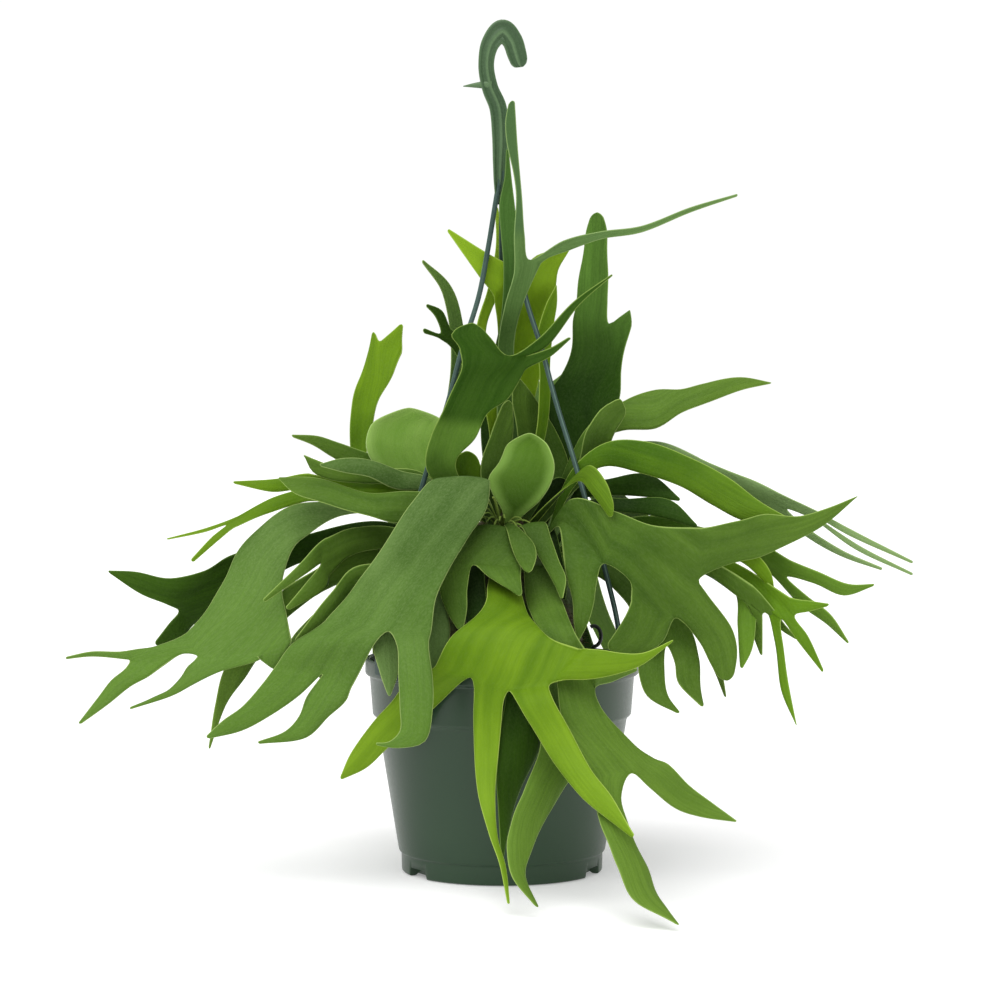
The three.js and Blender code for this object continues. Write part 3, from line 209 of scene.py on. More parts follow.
# A station crosses the blade: its left edge and right edge in the elevation, then its nearness.
FRONDS: list[Frond] = [
  frond("front_left", "felt", [0.9, 0], fork(
    [[-8, 252, 0, 255, 14], [-22, 281, -12, 287, 30], [-50, 293, -9, 292, 48], [-67, 277, -11, 273, 62],
      [-92, 239, -27, 247, 72], [-114, 209, -48, 209, 82], [-133, 187, -53, 180, 92]],
    [[-86, 179, 92]],
    fork(
      [[-156, 171, -97, 167, 97], [-171, 152, -113, 137, 101]],
      [[-135, 147, 101]],
      lobe(2, [[-180, 140, -152, 131, 104], [-196, 122, -175, 115, 107], [-210, 112, -196, 104, 109],
        [-223, 100, -221, 98, 111]]),
      lobe(1, [[-147, 130, -117, 127, 104], [-153, 115, -130, 115, 107], [-163, 104, -147, 99, 109],
        [-184, 96, -183, 94, 111]]),
    ),
    lobe(2, [[-79, 168, -55, 168, 107], [-78, 146, -52, 143, 120], [-77, 122, -52, 121, 126],
      [-77, 104, -58, 96, 130], [-85, 96, -78, 91, 131], [-95, 95, -94, 93, 132]]),
  )),
  frond("left_broad", "felt", [0.3, -0.3], fork(
    [[-25, 244, -21, 235, 12], [-84, 279, -80, 266, 24], [-121, 277, -120, 266, 32],
      [-156, 274, -140, 256, 38], [-184, 256, -154, 245, 44], [-199, 239, -163, 225, 50],
      [-209, 217, -165, 209, 55], [-221, 196, -162, 191, 60], [-237, 178, -158, 172, 64]],
    [[-229, 160, 66], [-184, 160, 67]],
    fork(
      [[-261, 168, -240, 162, 66], [-274, 166, -256, 152, 67]],
      [[-280, 157, 67]],
      lobe(1, [[-287, 164, -285, 158, 68], [-309, 164, -308, 160, 68], [-328, 160, -328, 158, 68]]),
      lobe(1, [[-283, 151, -266, 145, 69], [-294, 142, -279, 138, 70], [-305, 128, -295, 125, 72],
        [-319, 110, -317, 109, 73]]),
    ),
    lobe(2, [[-236, 153, -182, 158, 68], [-242, 145, -210, 149, 70], [-252, 134, -232, 139, 71],
      [-265, 128, -250, 130, 72], [-280, 122, -280, 120, 73]]),
    lobe(1, [[-181, 157, -164, 161, 65], [-173, 151, -171, 151, 63]]),
  )),
  frond("left_dark", "dark", [-0.65, 0.65], fork(
    [[-30, 240, -27, 228, -2], [-91, 262, -88, 250, 6], [-151, 251, -148, 232, 14],
      [-201, 237, -199, 205, 20], [-223, 225, -232, 184, 24]],
    [[-243, 194, 25]],
    lobe(2, [[-249, 219, -251, 199, 26], [-275, 224, -271, 207, 28], [-296, 225, -295, 223, 30]]),
    lobe(1, [[-250, 185, -241, 172, 26], [-262, 170, -258, 168, 28]]),
  )),
  frond("left_hanging", "mid", [-0.65, 0.65], lobe(2,
    [[-26, 232, -22, 222, 12], [-76, 247, -73, 234, 20], [-129, 232, -121, 216, 30],
      [-174, 202, -163, 188, 40], [-196, 176, -180, 163, 46], [-210, 148, -191, 147, 50],
      [-216, 123, -207, 125, 53], [-221, 92, -220, 90, 56]])),
  frond("left_inner", "mid", [-0.9, 0], fork(
    [[-32, 226, -28, 214, 18], [-76, 256, -76, 240, 30], [-112, 257, -114, 236, 50],
      [-133, 249, -129, 222, 56]],
    [[-136, 230, 57]],
    lobe(1, [[-151, 231, -148, 222, 62], [-180, 203, -178, 201, 66]]),
    lobe(1, [[-145, 218, -131, 213, 61], [-163, 197, -160, 195, 64]]),
  )),
  frond("left_narrow", "mid", [-0.3, 0.3], lobe(2,
    [[-28, 214, -24, 204, 28], [-76, 229, -75, 217, 54], [-112, 227, -108, 209, 60],
      [-129, 208, -123, 193, 66], [-156, 173, -154, 171, 72]])),
  frond("left_under", "felt", [-0.9, 0], fork(
    [[-30, 222, -24, 214, 30], [-56, 212, -40, 204, 58], [-84, 196, -40, 190, 74]],
    [[-66, 188, 76]],
    lobe(2, [[-97, 170, -76, 172, 82], [-92, 148, -78, 148, 88], [-86, 131, -84, 130, 90]]),
    lobe(2, [[-60, 178, -39, 178, 86], [-58, 161, -43, 163, 98], [-53, 148, -51, 148, 104]]),
  )),
  frond("centre_under", "dark", [0.9, 0], lobe(2,
    [[-14, 232, -8, 232, 24], [-26, 226, -13, 227, 51], [-28, 205, -12, 208, 58], [-27, 185, -10, 185, 72],
      [-20, 168, -18, 167, 86]])),
  frond("left_front", "mid", [0, -0.9], lobe(2,
    [[-14, 248, -10, 241, 18], [-39, 281, -39, 268, 32], [-69, 284, -76, 261, 44],
      [-103, 284, -102, 266, 50], [-132, 293, -136, 276, 53], [-152, 295, -157, 284, 55],
      [-168, 295, -167, 293, 57]])),
  frond("left_yellow", "lime", [0, -0.65], fork(
    [[-22, 254, -19, 247, 2], [-76, 292, -73, 278, 17], [-118, 293, -118, 277, 24],
      [-145, 298, -145, 277, 30]],
    [[-152, 286, 30]],
    lobe(1, [[-168, 294, -172, 284, 32], [-202, 292, -201, 290, 34]]),
    fork(
      [[-174, 279, -178, 267, 33], [-198, 266, -201, 257, 35]],
      [[-207, 259, 35]],
      lobe(1, [[-222, 257, -222, 254, 36], [-252, 249, -251, 248, 37]]),
      lobe(1, [[-217, 251, -211, 249, 36], [-234, 233, -232, 231, 37]]),
    ),
  )),
  frond("left_tip_low", "mid", [0, 0], lobe(1,
    [[-20, 256, -16, 250, -8], [-61, 299, -58, 288, 11], [-99, 301, -99, 290, 16],
      [-125, 303, -129, 293, 20], [-139, 308, -142, 299, 21], [-149, 312, -148, 310, 22]])),
  frond("left_tip_high", "mid", [-0.3, -0.3], lobe(2,
    [[-16, 260, -12, 254, -14], [-61, 305, -58, 293, -14], [-99, 313, -105, 298, -8],
      [-123, 321, -127, 310, -4], [-138, 326, -142, 319, 0], [-158, 327, -157, 325, 4]])),
  frond("left_top_felt", "felt", [-0.65, -0.65], lobe(2,
    [[-18, 254, -14, 248, 12], [-54, 294, -54, 283, 25], [-76, 300, -80, 286, 31],
      [-99, 308, -100, 295, 36], [-121, 309, -120, 299, 38], [-137, 305, -136, 303, 40]])),
  frond("left_upright", "lime", [0.9, 0], fork(
    [[-30, 236, -24, 236, -22], [-91, 277, -80, 273, -28], [-112, 307, -101, 304, -24],
      [-114, 329, -98, 328, -20], [-112, 352, -93, 352, -18], [-106, 373, -81, 373, -16],
      [-100, 390, -75, 388, -16]],
    [[-92, 397, -16]],
    lobe(1, [[-97, 404, -95, 403, -16]]),
    lobe(1, [[-86, 401, -75, 398, -16], [-76, 410, -74, 409, -16]]),
  )),
  frond("shield_left", "shield", [0, 0], lobe(4,
    [[-20, 254, -14, 254, -2], [-68, 285, -54, 283, 3], [-92, 300, -48, 298, 5], [-102, 318, -43, 318, 5],
      [-97, 337, -43, 337, 3], [-84, 347, -55, 347, 0]])),
  frond("shield_middle", "shield", [0.9, 0], lobe(4,
    [[2, 258, 8, 258, 14], [0, 270, 18, 268, 20], [-7, 282, 29, 278, 25], [-10, 294, 37, 291, 27],
      [-2, 306, 39, 305, 26], [4, 320, 34, 320, 23], [12, 328, 29, 328, 21]])),
  frond("shield_dark", "dark", [-0.65, 0.65], lobe(2,
    [[12, 250, 17, 245, 6], [27, 274, 34, 264, 8], [36, 292, 46, 275, 9], [46, 297, 51, 288, 9]])),
  frond("young_right", "mid", [0.9, 0], lobe(2,
    [[8, 244, 14, 240, 24], [14, 258, 32, 261, 50], [21, 246, 37, 249, 60], [30, 231, 43, 232, 68],
      [38, 217, 48, 219, 75], [44, 204, 46, 204, 80]])),
  frond("centre_dark", "mid", [0.65, -0.65], fork(
    [[-12, 242, -2, 242, 22], [-21, 258, 3, 257, 50], [-35, 241, 8, 240, 62], [-44, 226, 14, 228, 70]],
    [[-22, 229, 71]],
    lobe(2, [[-47, 211, -26, 213, 71], [-42, 195, -26, 197, 73], [-33, 180, -29, 180, 75]]),
    lobe(2, [[-11, 221, 14, 220, 79], [5, 211, 16, 203, 86]]),
  )),
  frond("front_bright", "bright", [0.45, 0.45], fork(
    [[-8, 226, 2, 224, 32], [-11, 213, 13, 210, 67], [-14, 197, 21, 191, 89], [-39, 174, 36, 174, 107],
      [-50, 153, 58, 166, 114]],
    [[-23, 144, 119], [5, 134, 122], [36, 139, 122]],
    lobe(2, [[-72, 140, -48, 124, 110], [-84, 125, -69, 104, 106], [-96, 112, -85, 92, 103],
      [-114, 87, -102, 76, 102], [-122, 69, -121, 67, 102]]),
    lobe(2, [[-21, 119, 1, 125, 126], [-21, 89, -2, 93, 142], [-18, 56, -5, 56, 160], [-10, 26, -3, 23, 178],
      [-2, 3, 3, 1, 190], [4, -27, 6, -27, 204]]),
    lobe(2, [[11, 126, 38, 129, 133], [23, 106, 53, 101, 143], [41, 77, 67, 75, 160], [61, 53, 80, 58, 177],
      [98, 23, 100, 25, 200]]),
    lobe(1, [[46, 142, 64, 166, 124], [66, 143, 76, 165, 126], [83, 146, 88, 163, 127],
      [104, 153, 106, 163, 128], [128, 171, 129, 173, 128]]),
  )),
  frond("front_under", "dark", [-0.65, 0], lobe(2,
    [[-6, 214, 4, 212, 30], [-8, 190, 6, 188, 80], [-6, 168, 12, 168, 106], [2, 140, 21, 134, 112],
      [-2, 97, 29, 95, 119], [-4, 59, 14, 61, 124], [-2, 29, 5, 28, 130], [-1, 8, 1, 7, 134]])),
  frond("front_middle", "mid", [-0.9, 0], lobe(2,
    [[8, 210, 16, 206, 32], [12, 190, 26, 186, 78], [14, 168, 32, 166, 103], [24, 134, 46, 134, 108],
      [29, 93, 58, 82, 122], [16, 59, 48, 62, 138], [7, 35, 33, 37, 152], [4, 14, 22, 13, 168],
      [7, -6, 18, -6, 182], [25, -29, 28, -30, 196]])),
  frond("front_right", "mid", [-0.65, 0], fork(
    [[12, 222, 20, 218, 32], [16, 226, 32, 228, 46], [18, 203, 44, 204, 68], [30, 174, 56, 176, 102],
      [40, 149, 70, 156, 112]],
    [[70, 136, 110]],
    fork(
      [[44, 118, 75, 121, 119], [52, 93, 97, 96, 129], [63, 68, 115, 83, 143]],
      [[98, 72, 148]],
      lobe(2, [[70, 48, 90, 54, 163], [77, 26, 96, 30, 184], [86, 3, 110, 1, 208], [98, -22, 119, -23, 233],
        [132, -43, 134, -43, 257]]),
      lobe(2, [[111, 61, 125, 79, 150], [131, 45, 141, 63, 157], [149, 39, 158, 50, 162],
        [176, 35, 177, 36, 167]]),
    ),
    lobe(1, [[83, 141, 84, 153, 103], [101, 149, 102, 151, 102]]),
  )),
  frond("right_large", "mid", [-0.3, 0.3], fork(
    [[24, 234, 30, 242, 12], [42, 258, 54, 279, 43], [46, 235, 89, 268, 60]],
    [[76, 230, 61]],
    lobe(2, [[49, 219, 71, 215, 64], [53, 202, 69, 200, 67], [54, 185, 65, 186, 71], [56, 173, 58, 172, 74]]),
    fork(
      [[96, 217, 112, 259, 62], [97, 202, 150, 257, 66]],
      [[130, 189, 66], [148, 218, 66]],
      lobe(2, [[84, 176, 121, 172, 71], [74, 164, 100, 158, 74]]),
      lobe(2, [[136, 186, 153, 209, 67], [149, 170, 173, 181, 69], [156, 156, 177, 164, 71],
        [164, 142, 174, 142, 73]]),
      lobe(2, [[170, 229, 178, 263, 65], [195, 236, 197, 267, 63], [222, 248, 224, 266, 61],
        [242, 259, 244, 272, 59], [266, 280, 267, 281, 57]]),
    ),
  )),
  frond("right_small_bright", "lime", [0.9, 0], lobe(2,
    [[13, 254, 17, 249, 14], [40, 281, 47, 285, 48], [58, 292, 66, 304, 58], [68, 282, 78, 291, 64],
      [82, 262, 85, 273, 66]])),
  frond("right_small_upright", "mid", [-0.65, 0.65], lobe(2,
    [[18, 254, 23, 250, 12], [46, 286, 54, 284, 17], [58, 308, 75, 305, 19], [64, 331, 83, 326, 19],
      [74, 346, 93, 343, 18], [87, 354, 90, 353, 18]])),
  frond("right_tall", "dark", [0.65, 0], fork(
    [[14, 254, 22, 250, -10], [42, 292, 58, 289, -14], [38, 322, 76, 322, -16], [35, 356, 88, 354, -20],
      [45, 373, 89, 375, -22], [52, 393, 93, 393, -24], [53, 412, 97, 408, -26]],
    [[80, 410, -26]],
    lobe(2, [[56, 427, 79, 427, -28], [58, 448, 79, 450, -30], [61, 466, 79, 466, -30],
      [63, 480, 78.5, 480, -30], [67, 493, 75, 493, -30]]),
    lobe(1, [[88, 415, 97, 414, -27], [95, 420, 96, 420, -28]]),
  )),
  frond("right_upper", "mid", [0, -0.4], lobe(2,
    [[26, 242, 28, 249, -4], [66, 318, 62, 330, -2], [90, 330, 88, 350, 0], [115, 331, 115, 361, 3],
      [134, 343, 134, 361, 5], [149, 349, 150, 365, 7], [179, 360, 179, 370, 10], [201, 365, 202, 366, 10]])),
  frond("right_arching", "lime", [0, 0], lobe(2,
    [[28, 228, 29, 236, 8], [56, 290, 52, 300, 26], [77, 303, 78, 321, 33], [104, 298, 107, 322, 37],
      [134, 288, 143, 309, 39], [158, 274, 171, 294, 41], [182, 262, 195, 276, 43],
      [224, 257, 226, 259, 45]])),
  frond("right_pale", "felt", [0.65, 0.65], fork(
    [[28, 238, 30, 246, -2], [70, 302, 68, 310, 6], [115, 311, 115, 322, 14], [152, 294, 158, 305, 18],
      [182, 279, 190, 292, 20], [205, 266, 221, 277, 22]],
    [[214, 271, 22]],
    lobe(1, [[227, 251, 231, 256, 24], [254, 236, 256, 240, 25], [285, 225, 286, 227, 26]]),
    fork(
      [[231, 265, 236, 270, 24]],
      [[234, 267, 24]],
      lobe(1, [[265, 241, 268, 244, 25], [308, 221, 309, 223, 26]]),
      lobe(1, [[259, 252, 262, 256, 26], [308, 230, 309, 232, 28]]),
    ),
  )),
  frond("right_low_bright", "lime", [0.65, 0.65], fork(
    [[30, 230, 31, 238, 6], [104, 252, 104, 266, 18], [148, 243, 152, 257, 22], [186, 232, 197, 245, 26],
      [202, 222, 216, 233, 28]],
    [[214, 220, 29]],
    lobe(1, [[223, 200, 229, 206, 30], [243, 185, 248, 191, 31], [260, 170, 261, 171, 32]]),
    lobe(1, [[235, 215, 238, 224, 30], [257, 206, 260, 215, 31], [279, 213, 280, 215, 32]]),
  )),
  frond("right_under", "lime", [0.9, 0], fork(
    [[30, 222, 32, 230, 16], [89, 240, 90, 253, 34], [134, 230, 138, 245, 42], [175, 217, 179, 229, 46],
      [197, 198, 216, 205, 48]],
    [[210, 188, 49], [220, 191, 49]],
    lobe(1, [[205, 172, 212, 165, 50], [210, 135, 217, 133, 51], [221, 109, 222, 108, 52]]),
    lobe(1, [[222, 172, 230, 176, 50], [241, 148, 242, 150, 52]]),
    lobe(1, [[231, 194, 233, 202, 50], [245, 198, 246, 200, 51]]),
  )),
  frond("right_hanging", "lime", [0.65, -0.65], lobe(2,
    [[32, 216, 34, 224, 4], [104, 230, 107, 241, 14], [148, 224, 156, 235, 20], [175, 208, 190, 210, 26],
      [177, 184, 191, 186, 30], [178, 166, 188, 165, 32], [179, 152, 181, 151, 34]])),
  frond("right_hanging_pair", "mid", [-0.65, -0.65], fork(
    [[28, 206, 32, 212, 20], [66, 222, 73, 233, 33], [92, 202, 107, 211, 49], [104, 174, 141, 182, 53]],
    [[124, 168, 54]],
    lobe(2, [[103, 148, 122, 148, 58], [109, 130, 125, 131, 62], [132, 117, 134, 118, 66]]),
    lobe(2, [[130, 156, 148, 159, 56], [133, 139, 149, 141, 59], [150, 122, 152, 123, 62]]),
  )),
  frond("right_dark_upper", "dark", [0.65, -0.65], lobe(2,
    [[28, 234, 29, 240, -10], [54, 276, 53, 286, -2], [83, 281, 80, 294, 10], [110, 280, 111, 297, 18],
      [133, 277, 134, 279, 22]])),
  frond("right_dark_lower", "dark", [0.65, -0.65], lobe(2,
    [[29, 229, 30, 235, 14], [66, 267, 64, 277, 30], [96, 268, 95, 279, 36], [122, 264, 126, 278, 38],
      [146, 256, 147, 259, 40]])),
  frond("swoop", "mid", [-0.65, 0.65], fork(
    [[2, 258, 8, 258, -2], [-2, 300, 12, 300, 0], [-4, 352, 14, 352, 2], [-3, 395, 9, 391, 13],
      [3, 427, 15, 423, 24], [9, 448, 29, 455, 22]],
    [[20, 458, 21]],
    lobe(1, [[9, 476, 17, 476, 18], [10.5, 505, 15, 505, 16], [8.5, 522, 13.5, 522, 14.5],
      [3.5, 545, 11.5, 545, 13], [2.5, 561, 10.5, 561, 12.5], [5, 575, 9.5, 577, 12]]),
    lobe(1, [[46, 472, 51, 465, 16], [74, 479, 74, 473, 12], [104, 483, 104, 478, 8], [141, 497, 141, 493, 4],
      [176, 507, 176, 505, 0]]),
  )),
  frond("cupped", "dark", [-0.65, 0.35], fork(
    [[-10, 258, -4, 260, 8], [-57, 302, -35, 305, 38], [-53, 327, -20, 324, 38], [-43, 348, -10, 343, 35],
      [-35, 364, 3, 353, 33], [-30, 378, 11, 364, 33], [-32, 392, 17, 375, 33]],
    [[5, 386, 33], [18, 386, 34]],
    lobe(2, [[-38, 402, -8, 399, 33], [-27, 411, -17, 410, 31]]),
    lobe(1, [[27, 399, 33, 392, 36], [54, 427, 58, 424, 35], [82, 447, 83, 446, 32]]),
    lobe(1, [[36, 392, 36, 385, 38], [50, 400, 52, 399, 39]]),
  )),
  frond("upper_young", "mid", [-0.9, 0], lobe(2,
    [[-8, 260, -2, 260, 4], [-16, 300, 1, 299, 10], [-9, 326, 8, 323, 10], [1, 352, 8, 353, 10]])),
  frond("upper_slant", "mid", [-0.9, 0], lobe(2,
    [[10, 258, 16, 256, 0], [17, 299, 50, 298, -8], [11, 329, 40, 331, -9], [8, 352, 25, 354, -10],
      [9, 368, 13, 370, -10]])),
  frond("back_bright", "lime", [-0.65, 0.65], fork(
    [[4, 258, 10, 258, -10], [2, 337, 21, 337, -14], [-2, 386, 32, 386, -13], [-4, 412, 37, 412, -12],
      [-6, 430, 40, 436, -10]],
    [[14, 452, -9]],
    lobe(2, [[-17, 445, -4, 459, -12], [-41, 479, -40, 481, -16]]),
    lobe(2, [[26, 461, 42, 450, -12], [49, 467, 51, 466, -14]]),
  )),
  frond("back_strip", "bright", [-0.9, 0], lobe(2,
    [[-2, 262, 4, 260, -8], [-10, 330, 0, 330, -16], [-20, 402, -12, 402, -22], [-11, 434, -3, 434, -24],
      [-5, 464, 2, 464, -22], [-5, 497, -3, 497, -20]])),
  frond("back_centre", "dark", [0.2, 0], lobe(2,
    [[-8, 256, -2, 256, -18], [-16, 340, -6, 340, -30], [-8, 380, 3, 380, -20], [-1, 414, 9, 414, 4],
      [1, 440, 10, 440, 9], [1, 456, 9.5, 456, 12], [-1, 478, 11.5, 478, 13], [-2, 499, 9.5, 499, 12],
      [2, 520, 7, 520, 11.5], [3, 540, 5, 540, 10]])),
  frond("upper_left_thin", "felt", [-0.9, 0], lobe(1,
    [[-24, 246, -18, 248, -14], [-42, 330, -34, 332, -34], [-38, 392, -28, 398, -36],
      [-45, 433, -38, 438, -32], [-60, 456, -59, 458, -30]])),
  frond("upper_left_dark", "dark", [-0.9, 0], fork(
    [[-27, 243, -22, 245, -12], [-42, 330, -34, 332, -8], [-28, 370, -20, 374, -6], [-38, 392, -27, 398, -6],
      [-47, 399, -38, 406, -6]],
    [[-46, 403, -6]],
    lobe(1, [[-59, 403, -59, 407, -6]]),
    lobe(1, [[-50, 415, -45, 420, -7], [-57, 423, -56, 425, -8]]),
  )),
]

# Small blades that the mound carries besides the solids' ones.
YOUNG_FRONDS: list[Frond] = [
  frond("young_crown", "mid", [0.9, 0], lobe(2,
    [[1.5, 259, 5.5, 261, 28], [4, 254, 14, 256, 60], [7, 243, 24, 245, 72], [11, 233, 26, 234, 79],
      [17, 224, 22, 223, 83]])),
  frond("young_lime", "lime", [-0.9, 0], lobe(2,
    [[8, 258, 12, 258, -6], [20, 300, 26, 300, -6], [27, 340, 35, 340, -5], [28, 372, 36, 376, -4],
      [26, 400, 38, 402, -4], [33, 424, 41, 424, -5], [40, 438, 41, 439, -5]])),
  frond("young_right_tip", "lime", [0.65, 0.65], lobe(2,
    [[40, 232, 42, 238, 8], [104, 244, 105, 254, 28], [150, 240, 154, 251, 34], [182, 230, 190, 238, 37],
      [196, 217, 202, 223, 38], [203, 208, 205, 209, 38]])),
  frond("young_right_fork", "mid", [0.65, 0.65], fork(
    [[32, 226, 34, 232, 12], [110, 232, 113, 242, 32], [152, 222, 158, 232, 38], [180, 204, 188, 214, 41]],
    [[196, 192, 42]],
    lobe(1, [[188, 190, 196, 188, 43], [189, 176, 196, 173, 43], [194, 162, 196, 161, 43]]),
    lobe(1, [[198, 193, 202, 199, 42], [210, 180, 213, 184, 42], [221, 173, 222, 174, 42]]),
  )),
  frond("young_left_lime", "lime", [-0.65, 0.65], lobe(2,
    [[-8, 258, -3, 258, 10], [-30, 288, -13, 286, 16], [-35, 302, -15, 300, 17], [-33, 314, -20, 315, 15]])),
  frond("young_dark", "dark", [0.45, 0], lobe(2,
    [[20, 240, 24, 240, 14], [30, 256, 38, 257, 30], [35, 236, 45, 236, 36], [41, 215, 49, 215, 40],
      [46, 203, 48, 203, 42]])),
]

# Each stalk's tip, as across, up and near, and its radius.
CROWN_STALKS: list[tuple[float, ...]] = [
  (-7, 280, 28, 1.5), (-13, 277, 32, 0.8), (-15, 272, 36, 0.7), (-14, 267, 38, 0.8), (-11, 262, 40, 0.9),
  (-6, 258, 44, 1.0), (12, 256, 40, 1.2), (20, 252, 44, 1.1), (7, 250, 48, 1.0), (-2, 262, 38, 1.3),
  (2, 264, 36, 1.4), (16, 262, 30, 0.9), (-18, 262, 34, 0.8), (24, 258, 30, 0.9),
]


# Back fronds stand in an upright plane through the axis. A station there is how far out it is, how high,
# its offset to the side and its half-width.
BACK_BLADES: dict[str, Part] = {
  "arching": fork(
    [[14, 236, 0, 4], [48, 268, 0, 7], [92, 276, 0, 14], [132, 258, 0, 24], [160, 232, 0, 30]],
    [[174, 208, 4]],
    lobe(2, [[182, 196, -22, 12], [204, 160, -34, 9], [218, 126, -42, 5], [224, 104, -46, 1]]),
    lobe(2, [[186, 198, 26, 13], [216, 172, 38, 9], [238, 140, 44, 5], [248, 118, 48, 1]]),
  ),
  "drooping": fork(
    [[30, 206, 0, 4], [66, 216, 0, 7], [104, 204, 0, 13], [128, 176, 0, 20], [140, 150, 0, 24]],
    [[150, 130, -2]],
    lobe(1, [[152, 116, -18, 9], [160, 84, -26, 7], [166, 50, -30, 1]]),
    lobe(2, [[158, 118, 18, 11], [174, 86, 26, 9], [186, 52, 36, 5], [192, 30, 40, 1]]),
  ),
  "short": fork(
    [[30, 216, 0, 4], [62, 236, 0, 8], [94, 232, 0, 16], [116, 210, 0, 22]],
    [[126, 190, -2]],
    lobe(1, [[132, 176, -20, 8], [140, 158, -26, 1]]),
    lobe(2, [[130, 180, 16, 11], [142, 156, 24, 7], [150, 138, 30, 1]]),
  ),
  "rising": fork(
    [[8, 250, 0, 4], [30, 296, 0, 8], [52, 336, 0, 14], [72, 366, 0, 19], [88, 384, 0, 22]],
    [[100, 396, 2]],
    lobe(1, [[106, 404, -16, 8], [128, 418, -24, 5], [146, 420, -28, 1]]),
    lobe(2, [[110, 400, 18, 10], [136, 408, 26, 7], [164, 400, 32, 1]]),
  ),
}


@dataclass(frozen=True)
class BackFrond:
    """One frond behind the axis: its blade, and where its upright plane stands."""

    name: str
    tone: str
    blade: str
    azimuth: float
    reach: float
    lift: float

    def plane(self) -> UprightPlane:
        """Returns the plane that it stands in."""
        return UprightPlane(self.azimuth, self.reach, self.lift)


BACK_FRONDS: list[BackFrond] = [
    BackFrond("back_arching_a", "mid", "arching", 40, 0.85, 16),
    BackFrond("back_arching_b", "felt", "arching", 74, 1, -6),
    BackFrond("back_arching_c", "bright", "arching", 116, 0.94, 8),
    BackFrond("back_arching_d", "mid", "arching", 132, 0.9, -6),
    BackFrond("back_drooping_a", "dark", "drooping", 66, 0.94, 0),
    BackFrond("back_drooping_b", "mid", "drooping", 102, 1, 0),
    BackFrond("back_short", "dark", "short", 146, 1, 0),
    BackFrond("back_rising_a", "felt", "rising", 68, 0.9, -34),
]


# Shapes ----------------------------------------


def smooth_curve(knots: Array, places: Array) -> Array:
    """Runs a centripetal Catmull-Rom curve through knots.

    Each span is the cubic whose end slopes come from the knots on both sides, with knot intervals the
    square root of the chord. The ends carry straight on.

    Args:
        knots: The points passed through, one a row.
        places: Where to read the curve, in spans from the first knot.

    Returns:
        One point a row for each place.
    """
    padded = np.vstack([2 * knots[0] - knots[1], knots, 2 * knots[-1] - knots[-2]])
    span = np.clip(np.floor(places).astype(int), 0, len(knots) - 2)
    t = (places - span)[:, None]
    before, start, end, after = (padded[span + k] for k in range(4))
    pairs = ((before, start), (start, end), (end, after))
    chord = [np.sqrt(np.linalg.norm(b - a, axis=1, keepdims=True)) for a, b in pairs]
    middle = np.where(chord[1] < LEAST_CHORD, 1.0, chord[1])
    first = np.where(chord[0] < LEAST_CHORD, middle, chord[0])
    last = np.where(chord[2] < LEAST_CHORD, middle, chord[2])
    leave = ((start - before) / first - (end - before) / (first + middle) + (end - start) / middle) * middle
    arrive = ((end - start) / middle - (after - start) / (middle + last) + (after - end) / last) * middle
    square = -3 * start + 3 * end - 2 * leave - arrive
    cube = 2 * start - 2 * end + leave + arrive
    return start + leave * t + square * t**2 + cube * t**3


def unit(vectors: Array) -> Array:
    """Returns the vectors at length one."""
    length = np.linalg.norm(vectors, axis=-1, keepdims=True)
    return vectors / np.where(length < NO_LENGTH, 1.0, length)


def eased(share: Array) -> Array:
    """Returns a share from 0 to 1 that starts and ends gently."""
    return share**2 * (3 - 2 * share)


def signed_power(values: Array, power: float) -> Array:
    """Returns the values' sizes raised to a power, each with its own sign."""
    size = np.abs(values)
    return np.sign(values) * np.where(size < NEARLY_NOTHING, 0.0, size) ** power


def about_axis(radius: Array | float, bearing: Array, height: Array | float) -> Array:
    """Returns points so far out from the axis, at their bearing and height."""
    parts = np.broadcast_arrays(radius * np.cos(bearing), radius * np.sin(bearing), height)
    return np.stack(parts, axis=-1)


def turned(points: Array, angle: float) -> Array:
    """Returns the points turned about the axis by an angle in radians."""
    cosine, sine = math.cos(angle), math.sin(angle)
    return points @ np.array([[cosine, sine, 0], [-sine, cosine, 0], [0, 0, 1]])


def quads(numbers: Array) -> Array:
    """Returns the quads between a grid's numbered points, wound so that across times along points out."""
    around = (numbers[:-1, :-1], numbers[:-1, 1:], numbers[1:, 1:], numbers[1:, :-1])
    return np.stack([corner.ravel() for corner in around], axis=1)


def grid_faces(rows: int, columns: int, closed: bool = True) -> Array:
    """Returns the quads of a grid of points, whose last column joins the first where it is closed."""
    numbers = np.arange(rows * columns).reshape(rows, columns)
    return quads(np.hstack([numbers, numbers[:, :1]]) if closed else numbers)


